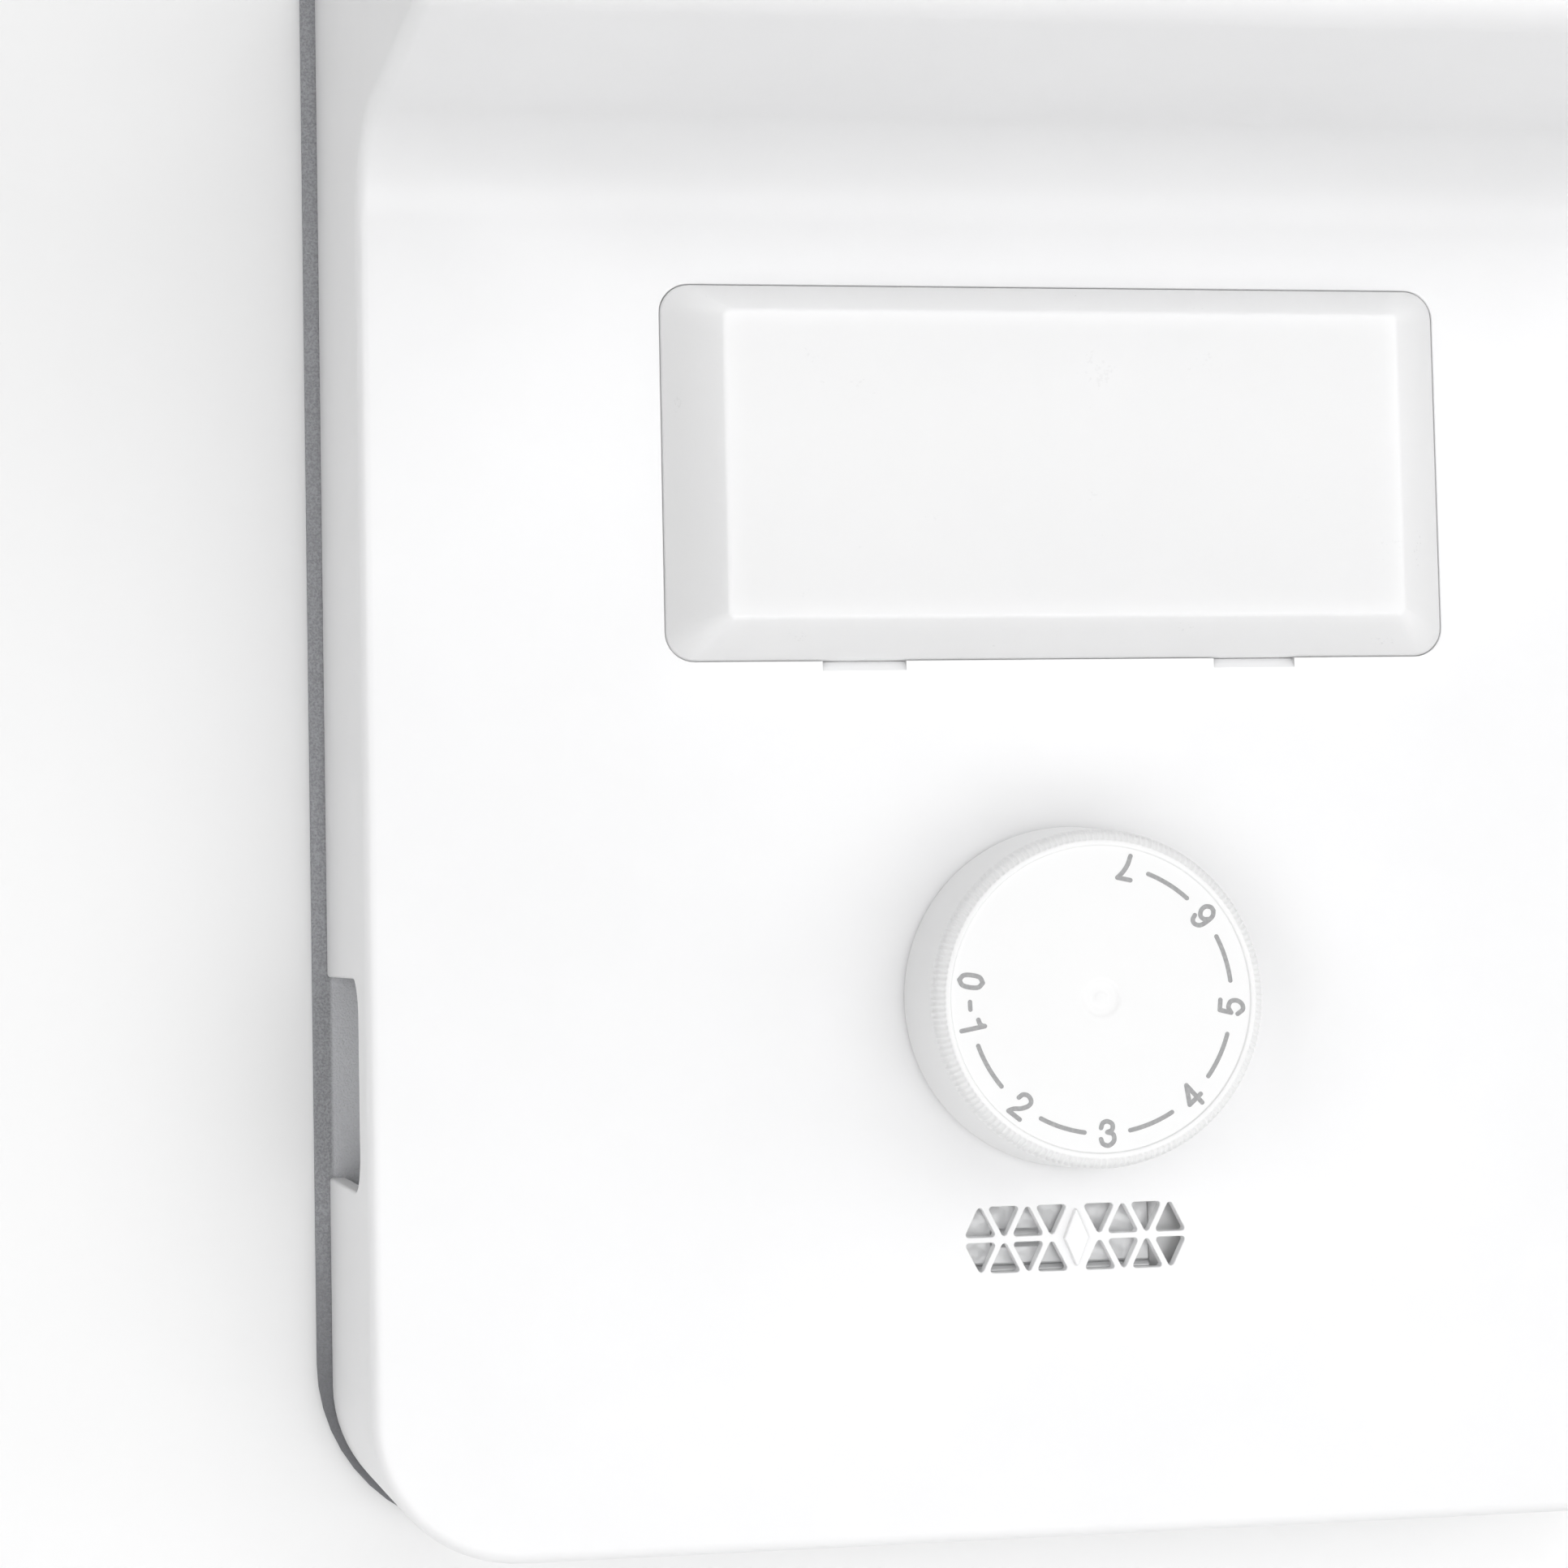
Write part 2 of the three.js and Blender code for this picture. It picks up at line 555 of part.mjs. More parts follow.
function lampTray() {
  const low = LENS_LOW - 2.6;
  const high = LENS_HIGH + 2.6;
  const backY = -PANEL_T - GAP - 0.9;
  const body = box(-TRAY_HALF, TRAY_HALF, TRAY_FRONT_Y, backY, low, high);
  const hollow = box(-TRAY_HALF + TRAY_WALL, TRAY_HALF - TRAY_WALL, TRAY_FRONT_Y - 1, backY - TRAY_WALL,
    low + TRAY_WALL, high - TRAY_WALL);
  const socketHole = box(TRAY_HALF - 5, TRAY_HALF + 5, LAMP_Y - 9.5, LAMP_Y + 9.5, LAMP_Z - 9.5, LAMP_Z + 9.5);
  const screwHoles = [-48, 48].map((x) => rod(2.2, [x, -20, LAMP_Z], [x, 0, LAMP_Z], 12));
  return cut(body, hollow, socketHole, ...screwHoles);
}

function lampHolder() {
  const barrel = rod(9.2, [36, LAMP_Y, LAMP_Z], [66, LAMP_Y, LAMP_Z], 32);
  const flange = box(TRAY_HALF - TRAY_WALL - 3, TRAY_HALF - TRAY_WALL - GAP,
    LAMP_Y - 10, LAMP_Y + 12, LAMP_Z - 12, LAMP_Z + 12);
  const bore = rod(7.6, [30, LAMP_Y, LAMP_Z], [60, LAMP_Y, LAMP_Z], 32);
  return join(barrel, flange).subtract(bore);
}

const bulbCap = () => rod(6.9, [33, LAMP_Y, LAMP_Z], [57, LAMP_Y, LAMP_Z], 32);

function bulbGlass() {
  const profile = [];
  const steps = 14;
  for (let i = 0; i <= steps; i += 1) {
    const a = (i / steps) * Math.PI;
    const neck = i > steps / 2 ? 6.5 + 4.8 * Math.sin(a) : 11.3 * Math.sin(a);
    profile.push(new THREE.Vector2(i === 0 ? 0 : neck, -22 * Math.cos(a)));
  }
  profile.push(new THREE.Vector2(0, 22));
  const g = new THREE.LatheGeometry(profile, 22);
  g.rotateZ(-Math.PI / 2);
  g.translate(10.5, LAMP_Y, LAMP_Z);
  return solid(g);
}

function harnessPlug() {
  const body = box(PLUG.x0, PLUG.x1, -24, -0.6, PLUG.z0, PLUG.z1);
  const cavities = [];
  for (let i = 0; i < 4; i += 1) {
    const x = PLUG.x0 + 3.5 + i * 5;
    cavities.push(box(x - 1.6, x + 1.6, -7, 1, PLUG.z0 + 4, PLUG.z1 - 4));
  }
  return cut(body, ...cavities);
}

const LEAD_R = 1.1;

// A lead from way number i of the plug, straight out of it and on along its route.
function lead(way, ...route) {
  const x = PLUG.x0 + 3.5 + way * 5;
  const z = (PLUG.z0 + PLUG.z1) / 2;
  return tube([[x, -24 - GAP, z], [x, -27.5, z], ...route], LEAD_R, 30, 8);
}

// A thin plate close behind the grille, its right end stepped back.
function sensorShield() {
  const plateFront = box(-18.2, 12.4, -41.9, -41.5, -42.2, -26);
  const step = box(12, 12.4, -41.9, -40, -42.2, -26);
  const wing = box(12, 18.2, -40.4, -40, -42.2, -26);
  return join(plateFront, step, wing);
}

// ---- assembly -----------------------------------------------------------------------
add('front_cover', frontCover(), WHITE_PLASTIC);
add('rear_gasket', rearGasket(), GREY_FOAM);
add('back_panel', backPanel(), FOAM);
add('air_duct_left', airDuct(-1), FOAM);
add('air_duct_right', airDuct(1), FOAM);
add('lamp_cover', lampCover(), MILKY);
add('lamp_tray', lampTray(), CREAM_PLASTIC);
add('lamp_holder', lampHolder(), CREAM_PLASTIC);
add('bulb_cap', bulbCap(), BRASS);
add('bulb_glass', bulbGlass(), GLASS);
add('control_knob', controlKnob(), WHITE_PLASTIC);
add('knob_spring_clip', knobClip(), STEEL);
add('thermostat_shaft', thermostatShaft(), STEEL);
add('range_cam', rampCam(), BRASS);
add('thermostat_frame', thermostatFrame(), STEEL);
add('range_lever', rangeLever(), STEEL);
add('main_lever', mainLever(), STEEL);
add('range_spring', rangeSpring(), STEEL);
add('range_screw', rangeScrew(), BRASS);
add('bellows_capsule', bellows(), BRASS);
add('capillary_tube', capillary(), COPPER);
add('capillary_clip_left', capillaryClip(-20.5), CREAM_PLASTIC);
add('capillary_clip_right', capillaryClip(20.5), CREAM_PLASTIC);
add('switch_housing', switchHousing(), BLACK_PLASTIC);
add('contact_blade', contactBlade(), BRASS);
add('terminal_supply', terminal(-8), BRASS);
add('terminal_load', terminal(8), BRASS);
add('earth_tab', earthTab(), STEEL);
add('thermostat_screw_left', screw(-13, 0, FACE_Y - 0.1, -36.5, 1.4), STEEL);
add('thermostat_screw_right', screw(13, 0, FACE_Y - 0.1, -36.5, 1.4), STEEL);
add('fixing_screw_left', screw(-48, LAMP_Z, -12.1, -0.6, 1.8), STEEL);
add('fixing_screw_right', screw(48, LAMP_Z, -12.1, -0.6, 1.8), STEEL);
add('sensor_shield', sensorShield(), FOIL);
add('harness_plug', harnessPlug(), CREAM_PLASTIC);
add('lead_supply', lead(3, [90, -31.5, 125], [91.5, -31.5, 115], [90, -31, 100], [88, -31, 70],
  [80, -31, 36], [60, -29, 26], [40, -28, 20], [35, -28, 0], [34, -27, -30], [26, -24, -50],
  [4, -23, -57], [-6, -23, -55], [-8, -23, -51], [-8, -23, -47.7]), BRASS);
add('lead_load', lead(2, [85, -33, 125], [86, -33.5, 115], [84, -33, 100], [82, -33, 70],
  [76, -33, 38], [58, -33, 30], [36, -33, 22], [30, -33, 4], [29.5, -31, -12], [32, -22, -25],
  [24, -19, -46], [13, -21.5, -53.5], [8.6, -23, -51.5], [8, -23, -47.7]), BRASS);
add('lead_lamp_live', lead(1, [79, -31, 125], [78.5, -31, 116], [76, -30, 102],
  [75, -28, 92], [72.5, -25.6, 85.4], [69.5, -25, 84], [66.4, -25, 84]), BRASS);
add('lead_lamp_neutral', lead(0, [73.5, -30, 125], [72.5, -31, 116], [70.5, -33, 100],
  [72.5, -34, 86], [72, -32, 79.5], [69.5, -31, 78], [66.4, -31, 78]), BRASS);

export default object;
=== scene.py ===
# %% [markdown]
# # A refrigerator's thermostat and lamp cover
# The object is a white moulded cover on the rear wall of a refrigerator compartment. It carries a
# temperature knob, a milky lamp cover and a small grille, and its top sweeps forward into an overhang.
# The engineering model already holds every part at its real size, in metres, with the wall at y = 0
# and the front facing -Y. This notebook gives those parts their finished surfaces and materials.

# %% Load the engineering model
import json
import math

import bmesh
import bpy
import numpy as np
from mathutils import Matrix, Vector
from mathutils.geometry import delaunay_2d_cdt


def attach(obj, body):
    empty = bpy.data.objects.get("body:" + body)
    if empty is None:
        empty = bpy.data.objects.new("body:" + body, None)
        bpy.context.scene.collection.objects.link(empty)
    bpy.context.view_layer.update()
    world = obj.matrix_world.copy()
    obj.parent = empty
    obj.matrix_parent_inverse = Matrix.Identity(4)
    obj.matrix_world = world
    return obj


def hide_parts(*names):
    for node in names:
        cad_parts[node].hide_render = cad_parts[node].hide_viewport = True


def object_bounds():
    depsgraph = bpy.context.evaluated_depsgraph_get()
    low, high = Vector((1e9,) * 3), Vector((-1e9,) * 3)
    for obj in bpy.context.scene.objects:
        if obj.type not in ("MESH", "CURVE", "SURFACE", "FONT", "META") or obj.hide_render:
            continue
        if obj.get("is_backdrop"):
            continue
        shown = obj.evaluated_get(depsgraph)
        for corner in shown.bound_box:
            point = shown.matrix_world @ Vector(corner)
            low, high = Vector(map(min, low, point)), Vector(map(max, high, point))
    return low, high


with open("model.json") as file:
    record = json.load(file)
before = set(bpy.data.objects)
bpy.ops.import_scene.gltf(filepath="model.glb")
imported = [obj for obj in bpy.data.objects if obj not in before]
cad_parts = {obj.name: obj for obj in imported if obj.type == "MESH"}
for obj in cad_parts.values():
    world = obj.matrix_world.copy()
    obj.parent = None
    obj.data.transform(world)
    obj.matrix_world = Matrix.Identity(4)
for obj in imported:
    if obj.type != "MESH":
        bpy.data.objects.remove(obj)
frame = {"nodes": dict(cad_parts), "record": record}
cad_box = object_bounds()
MM = 0.001
print("parts:", len(frame["nodes"]), "box in mm:", [round(c / MM, 1) for v in cad_box for c in v])

# %% [markdown]
# ## The view
# The camera looks at the cover's lower left quarter from half a metre away, a little to the left of the
# knob and level with it. Its axes are given directly: right, up and backwards. A 67 mm lens on a 36 mm
# sensor keeps the perspective gentle, so nothing has to be shifted.

# %% Camera
CAMERA_AT = Vector((-0.10504, -0.48485, 0.01130))
CAMERA_YAW, CAMERA_PITCH, CAMERA_ROLL = (math.radians(a) for a in (7.946, -2.829, -1.189))


def camera_axes(yaw, pitch, roll):
    """Right, up and backward axes: turned about the vertical by yaw, then tilted, then rolled."""
    right = Vector((math.cos(yaw), -math.sin(yaw), 0))
    forward = Vector((math.sin(yaw), math.cos(yaw), 0))
    up = Vector((0, 0, 1))
    forward, up = (forward * math.cos(pitch) - up * math.sin(pitch),
                   up * math.cos(pitch) + forward * math.sin(pitch))
    right, up = (right * math.cos(roll) + up * math.sin(roll),
                 up * math.cos(roll) - right * math.sin(roll))
    return right, up, -forward


camera_data = bpy.data.cameras.new("camera")
camera_data.lens, camera_data.sensor_width = 67.08, 36
camera_data.clip_start, camera_data.clip_end = 0.01, 20
camera = bpy.data.objects.new("camera", camera_data)
axes = camera_axes(CAMERA_YAW, CAMERA_PITCH, CAMERA_ROLL)
camera.matrix_world = Matrix.Translation(CAMERA_AT) @ Matrix(axes).transposed().to_4x4()
bpy.context.scene.collection.objects.link(camera)
bpy.context.scene.camera = camera
print("camera axes:", [tuple(round(c, 4) for c in a) for a in axes])

# %% [markdown]
# ## Surfaces made of patches
# A moulded part is a handful of simple surfaces: flat faces with holes, rounded edges, turned rims.
# Each is worked out as a whole array of points, with the direction that it faces at every point, and
# the patches are then welded where their edges meet. Giving the directions keeps a flat face flat in
# the light right up to its rounded edge, which automatic smoothing does not.

# %% The patch kit
def slopes_crossed(p, wrap=False):
    """Normals of a grid: the slope down its rows crossed with the slope along its columns."""
    down = np.gradient(p, axis=0, edge_order=2 if len(p) > 2 else 1)
    if wrap:
        ring = np.concatenate([p[:, -2:-1], p, p[:, 1:2]], axis=1)
        across = (ring[:, 2:] - ring[:, :-2]) / 2
    else:
        across = np.gradient(p, axis=1, edge_order=2 if p.shape[1] > 2 else 1)
    n = np.cross(down, across)
    return n / np.maximum(np.linalg.norm(n, axis=-1, keepdims=True), 1e-9)


def inside_loops(spots, starts, ends):
    """Even-odd rule: a spot is inside if a ray from it crosses the loops an odd number of times."""
    x, z = spots[:, :1], spots[:, 1:]
    (x0, z0), (x1, z1) = starts.T, ends.T
    straddles = (z0 > z) != (z1 > z)
    rise = np.where(z1 == z0, 1, z1 - z0)
    return (straddles & (x < x0 + (x1 - x0) * (z - z0) / rise)).sum(1) % 2 == 1


class Surface:
    """Collects patches in millimetres and welds them into one mesh."""

    def __init__(self):
        self.points, self.normals, self.quads, self.tris, self.count = [], [], [], [], 0

    def patch(self, points, normals, quads=(), tris=()):
        self.points.append(np.asarray(points, float).reshape(-1, 3))
        self.normals.append(np.broadcast_to(np.asarray(normals, float), self.points[-1].shape))
        self.quads.append(np.asarray(quads, int).reshape(-1, 4) + self.count)
        self.tris.append(np.asarray(tris, int).reshape(-1, 3) + self.count)
        self.count += len(self.points[-1])

    def grid(self, points, normals=None, wrap=False):
        """Rows by columns of points. Unless given, the normal is the two slopes crossed."""
        p = np.asarray(points, float)
        if wrap:
            p = np.concatenate([p, p[:, :1]], axis=1)
        if normals is None:
            normals = slopes_crossed(p, wrap)
        i = np.arange(p.shape[0] * p.shape[1]).reshape(p.shape[:2])
        quads = np.stack([i[:-1, :-1], i[:-1, 1:], i[1:, 1:], i[1:, :-1]], -1)
        self.patch(p, np.broadcast_to(normals, p.shape).reshape(-1, 3), quads)

    def flat(self, loops, normal, axes=(0, 2)):
        """A flat area inside closed loops of points: the first is its edge, the others its holes."""
        points = np.concatenate(loops)
        starts = np.cumsum([0] + [len(loop) for loop in loops])
        ahead = np.concatenate([np.roll(np.arange(a, b), -1) for a, b in zip(starts, starts[1:])])
        plan = points[:, axes]
        edges = list(zip(range(len(points)), ahead.tolist()))
        made = delaunay_2d_cdt([Vector(v) for v in plan], edges, [], 0, 1e-7)
        tris = np.array([origins[0] for origins in made[3]])[np.array(made[2])]
        self.patch(points, normal, tris=tris[inside_loops(plan[tris].mean(1), plan, plan[ahead])])

    def welded(self):
        """Equal points made one, and the faces that this leaves with area."""
        points = np.concatenate(self.points)
        key = np.rint(points * 2e4 + 0.123).astype(np.int64)
        _, first, where = np.unique(key, axis=0, return_index=True, return_inverse=True)
        where = where.reshape(-1)
        quads, tris = np.concatenate(self.quads), np.concatenate(self.tris)
        pinched = (where[quads] == where[np.roll(quads, -1, axis=1)]).any(1)
        tris = np.concatenate([tris, quads[pinched][:, [0, 1, 2]], quads[pinched][:, [0, 2, 3]]])
        tris = tris[(where[tris] != where[np.roll(tris, -1, axis=1)]).all(1)]
        return points[first], where, quads[~pinched], tris

    def build(self, name, closed=True):
        """Turns every face outwards and sets the given normals, corner by corner."""
        points, where, quads, tris = self.welded()
        corners = np.concatenate([quads.ravel(), tris.ravel()])
        sizes = np.repeat([4, 3], [len(quads), len(tris)])
        face_of = np.repeat(np.arange(len(sizes)), sizes)
        mesh = bpy.data.meshes.new(name)
        mesh.vertices.add(len(points))
        mesh.vertices.foreach_set("co", (points * MM).ravel())
        mesh.loops.add(len(corners))
        mesh.loops.foreach_set("vertex_index", where[corners])
        mesh.polygons.add(len(sizes))
        mesh.polygons.foreach_set("loop_start", np.cumsum(sizes) - sizes)
        mesh.update(calc_edges=True)
        work = bmesh.new()
        work.from_mesh(mesh)
        if closed:
            bmesh.ops.recalc_face_normals(work, faces=work.faces)
        gaps = sum(not edge.is_manifold for edge in work.edges)
        work.to_mesh(mesh)
        work.free()
        now = np.empty(len(mesh.loops), np.int32)
        mesh.loops.foreach_get("vertex_index", now)
        facing = np.empty(len(sizes) * 3)
        mesh.polygons.foreach_get("normal", facing)
        facing = facing.reshape(-1, 3)[face_of]
        wanted = np.empty((len(corners), 3))
        order = np.argsort(face_of * len(points) + now, kind="stable")
        source = np.argsort(face_of * len(points) + where[corners], kind="stable")
        wanted[order] = np.concatenate(self.normals)[corners][source]
        wanted *= np.where((wanted * facing).sum(1, keepdims=True) < 0, -1, 1)
        lengths = np.linalg.norm(wanted, axis=1, keepdims=True)
        wanted = np.where(lengths > 1e-6, wanted / np.maximum(lengths, 1e-9), facing)
        mesh.polygons.foreach_set("use_smooth", np.ones(len(sizes), bool))
        mesh.normals_split_custom_set(wanted)
        thing = bpy.data.objects.new(name, mesh)
        bpy.context.scene.collection.objects.link(thing)
        print(f"{name}: {len(sizes)} faces, {gaps} open edges")
        return thing


# %% Outlines and edges
def arc(centre, radius, start, end, steps):
    """Points at a distance from a centre, from one angle to another, in degrees."""
    a = np.radians(np.linspace(start, end, steps + 1))
    return np.asarray(centre, float) + np.stack([np.cos(a), np.sin(a)], 1) * radius


def round_outline(centres, radius, steps=8):
    """Anticlockwise outline that a string pulled round equal pegs would take."""
    c = np.asarray(centres, float)
    run = np.roll(c, -1, axis=0) - c
    out = np.degrees(np.arctan2(-run[:, 0], run[:, 1]))
    arcs = []
    for i in range(len(c)):
        start = out[i - 1]
        arcs.append(arc(c[i], radius, start, start + (out[i] - start) % 360, steps))
    return np.concatenate(arcs)


def rectangle(x0, x1, z0, z1, corner, steps=8):
    """Rounded rectangle, as a function of how far the outline is moved outwards."""
    def outline(grow=0):
        r = corner
        pegs = [(x1 - r, z0 + r), (x1 - r, z1 - r), (x0 + r, z1 - r), (x0 + r, z0 + r)]
        return round_outline(pegs, r + grow, steps)
    return outline


def circle(x, z, radius, steps=48):
    """Circle, as a function of how far it is moved outwards."""
    return lambda grow=0: arc((x, z), radius + grow, 0, 360, steps)[:-1]


def at_depth(outline, y):
    """An outline in X and Z as points at depth y, which is a number or one for each point."""
    return np.insert(outline, 1, y, axis=1)


def rim_rows(outline, front, back, front_edge, back_edge, inward, steps=4):
    """Rows of a wall between two faces, its edges rounded off by quarter circles."""
    a = np.radians(np.linspace(0, 90, steps + 1))
    rows = [(-front_edge * (1 - np.sin(t)), front + front_edge * (1 - np.cos(t))) for t in a]
    rows += [(-back_edge * (1 - np.sin(t)), back - back_edge * (1 - np.cos(t))) for t in a[::-1]]
    rows = [row for i, row in enumerate(rows) if i == 0 or row != rows[i - 1]]
    return np.stack([at_depth(outline(inward * grow), y) for grow, y in rows])


def rim(surface, outline, front, back, front_edge=0, back_edge=0, hole=False):
    """Adds the wall round an outline. A hole's edges open outwards instead of closing in."""
    rows = rim_rows(outline, front, back, front_edge, back_edge, -1 if hole else 1)
    tangent = np.roll(rows, -1, axis=1) - np.roll(rows, 1, axis=1)
    radial = np.stack([tangent[..., 2], np.zeros(rows.shape[:2]), -tangent[..., 0]], -1)
    radial /= np.maximum(np.linalg.norm(radial, axis=-1, keepdims=True), 1e-9)
    lean = np.zeros(len(rows))
    for edge, y, sign in ((front_edge, front, -1), (back_edge, back, 1)):
        if edge:
            lean += sign * np.clip(1 - np.abs(rows[:, 0, 1] - y) / edge, 0, 1)
    lean = lean[:, None, None]
    out = radial * (-1 if hole else 1) * np.sqrt(1 - np.clip(lean, -1, 1) ** 2)
    out = out + np.array([0, 1, 0]) * lean
    surface.grid(rows, np.concatenate([out, out[:, :1]], axis=1), wrap=True)


def plate(surface, outer, holes, front, back, edge=0, hole_edge=0):
    """A plate between two depths, with rounded edges and any number of holes."""
    rim(surface, outer, front, back, edge, edge)
    for hole in holes:
        rim(surface, hole, front, back, hole_edge, hole_edge, hole=True)
    for y, normal in ((front, (0, -1, 0)), (back, (0, 1, 0))):
        surface.flat([at_depth(outer(-edge), y)] + [at_depth(h(hole_edge), y) for h in holes], normal)

# %% [markdown]
# ## Shaders as sums
# A material is a small calculation. Wrapping a socket in a class whose plus, minus and times signs add
# Math nodes lets the calculation be read as one line, where a web of nodes could not be.

# %% The shader kit
class Value:
    """A shader socket that can stand in a sum."""

    def __init__(self, recipe, socket):
        self.recipe, self.socket = recipe, socket

    def maths(self, operation, *others):
        return self.recipe.node("ShaderNodeMath", {"operation": operation}, dict(enumerate(others)))

    def __add__(self, other):
        return self.maths("ADD", self, other)

    def __sub__(self, other):
        return self.maths("SUBTRACT", self, other)

    def __mul__(self, other):
        return self.maths("MULTIPLY", self, other)

    __radd__, __rmul__ = __add__, __mul__


class Recipe:
    """One material: its Principled shader and the nodes that feed it."""

    def __init__(self, name):
        self.material = bpy.data.materials.new(name + "_finish")
        self.material.use_nodes = True
        self.nodes, self.links = self.material.node_tree.nodes, self.material.node_tree.links
        self.shader = self.nodes["Principled BSDF"]
        self.place = self.node("ShaderNodeTexCoord", {}, {}, "Object")

    def put(self, socket, value):
        if isinstance(value, Value):
            self.links.new(value.socket, socket)
        elif socket.type == "RGBA":
            socket.default_value = (*value, 1)
        else:
            socket.default_value = value

    def node(self, kind, settings, inputs, output=0):
        made = self.nodes.new(kind)
        for key, value in settings.items():
            setattr(made, key, value)
        for key, value in inputs.items():
            self.put(made.inputs[key], value)
        return Value(self, made.outputs[output])

    def noise(self, size, detail=3, stretch=(1, 1, 1)):
        """Soft random values round a half. Size is that of one blot, in millimetres."""
        scale = tuple(s / (size * MM) for s in stretch)
        spot = self.node("ShaderNodeMapping", {}, {"Vector": self.place, "Scale": scale})
        return self.node("ShaderNodeTexNoise", {}, {"Vector": spot, "Scale": 1.0, "Detail": detail})

    def ramp(self, value, low, high):
        """0 below low, 1 above high, even between."""
        return self.node("ShaderNodeMapRange", {"clamp": True},
                         {"Value": value, "From Min": low, "From Max": high})

    def blend(self, share, a, b):
        """Colour a where share is 0, colour b where it is 1."""
        made = self.node("ShaderNodeMix", {"data_type": "RGBA"}, {0: share}, 2)
        self.put(made.socket.node.inputs[6], a)
        self.put(made.socket.node.inputs[7], b)
        return made

    def bump(self, height, depth):
        """Shades the surface as if height, from 0 to 1, were that many millimetres of relief."""
        return self.node("ShaderNodeBump", {}, {"Height": height, "Distance": depth * MM})

    def finish(self, **sockets):
        for name, value in sockets.items():
            self.put(self.shader.inputs[name.replace("_", " ")], value)
        return self.material


# %% [markdown]
# ## Finishes
# The cover, the knob and the lamp cover are white plastics that differ in gloss and in how far light
# sinks in. Even a clean moulding is not one flat colour: its gloss drifts where the plastic flowed, and
# the mould's fine spark finish breaks up the highlights.

# %% Plastics, inks and glass
def moulded(name, colour, roughness, grain=0.35, depth=0.004, drift=0.02, **more):
    """Plastic: slow drift of tone and gloss over a few centimetres, and a fine grain in relief."""
    r = Recipe(name)
    cloud = r.noise(28)
    fine = r.noise(grain, 2)
    darker = tuple(c * (1 - drift) for c in colour)
    r.finish(Base_Color=r.blend(r.ramp(cloud, 0.3, 0.7), darker, colour),
             Roughness=roughness + (r.noise(9) - 0.5) * 0.10 + (fine - 0.5) * 0.05,
             Normal=r.bump(fine, depth), **more)
    return r.material


def beaded(name, colour, bead=3.2):
    """Polystyrene foam: pressed beads, each a shade apart from the next, with fine seams between."""
    r = Recipe(name)
    spot = r.node("ShaderNodeMapping", {}, {"Vector": r.place, "Scale": (1 / (bead * MM),) * 3})
    seams = r.node("ShaderNodeTexVoronoi", {"feature": "DISTANCE_TO_EDGE"}, {"Vector": spot, "Scale": 1.0})
    beads = r.node("ShaderNodeTexVoronoi", {}, {"Vector": spot, "Scale": 1.0}, "Color")
    shade = r.node("ShaderNodeSeparateColor", {}, {"Color": beads})
    raised = r.ramp(seams, 0.0, 0.16)
    darker = tuple(c * 0.86 for c in colour)
    r.finish(Base_Color=r.blend(raised * 0.75 + shade * 0.25, darker, colour),
             Roughness=0.62 + shade * 0.2, Normal=r.bump(raised + r.noise(0.6) * 0.2, 0.18))
    return r.material


def cellular(name, colour, skin):
    """Soft foam: pores a third of a millimetre across, painted shade low down, and painted light, a paler
    patch, on its inner front.
    """
    r = Recipe(name)
    pores = r.ramp(r.noise(0.35, 4), 0.35, 0.6)
    x, y, z = (r.node("ShaderNodeSeparateXYZ", {}, {0: r.place}, i) for i in range(3))
    darker, painted_shade_tone = (tuple(c * share for c in colour) for share in (0.72, 0.5))
    # painted shade: low darkens the gasket from z = -30 mm down to z = -66 mm, standing in for the shade of
    # its lower corner
    low = r.ramp(z, -30 * MM, -66 * MM)
    # painted light: this mask lightens the gasket's inner front, inside 113 mm from the middle, above z =
    # -58 mm and in front of y = -1.5 mm, to the paler skin colour where the cover's walls shade it
    side = x.maths("ABSOLUTE", x)
    inner = (r.ramp(side, 113.2 * MM, 112.6 * MM) * r.ramp(z, -60.0 * MM, -58.0 * MM)
             * r.ramp(y, -0.5 * MM, -1.5 * MM))
    outer = r.blend(low, r.blend(pores, darker, colour), painted_shade_tone)
    r.finish(Base_Color=r.blend(inner, outer, skin), Roughness=0.85 + pores * 0.1,
             Normal=r.bump(pores, 0.10))
    return r.material


def metal(name, colour, roughness, brushed=(1, 1, 12), depth=0.004):
    """Metal: scratches drawn out along one direction, and a patchy dull film."""
    r = Recipe(name)
    lines = r.noise(0.5, 3, brushed)
    film = r.ramp(r.noise(7), 0.35, 0.75)
    dull = tuple(c * 0.78 for c in colour)
    r.finish(Base_Color=r.blend(film * 0.6, colour, dull), Metallic=1.0,
             Roughness=roughness + (lines - 0.5) * 0.15 + film * 0.1, Normal=r.bump(lines, depth))
    return r.material


def printed(name, colour):
    """Pad-printed ink: nearly even, a touch thin in places."""
    r = Recipe(name)
    thin = r.ramp(r.noise(0.5, 2), 0.25, 0.6)
    lighter = tuple(c + (1 - c) * 0.12 for c in colour)
    r.finish(Base_Color=r.blend(thin, lighter, colour), Roughness=0.42 + thin * 0.08,
             Normal=r.bump(thin, 0.004))
    return r.material


WHITE = (0.90, 0.90, 0.905)
cover_plastic = moulded("cover_plastic", WHITE, 0.36)
knob_plastic = moulded("knob_plastic", (0.90, 0.90, 0.90), 0.34, grain=0.3, drift=0.012)
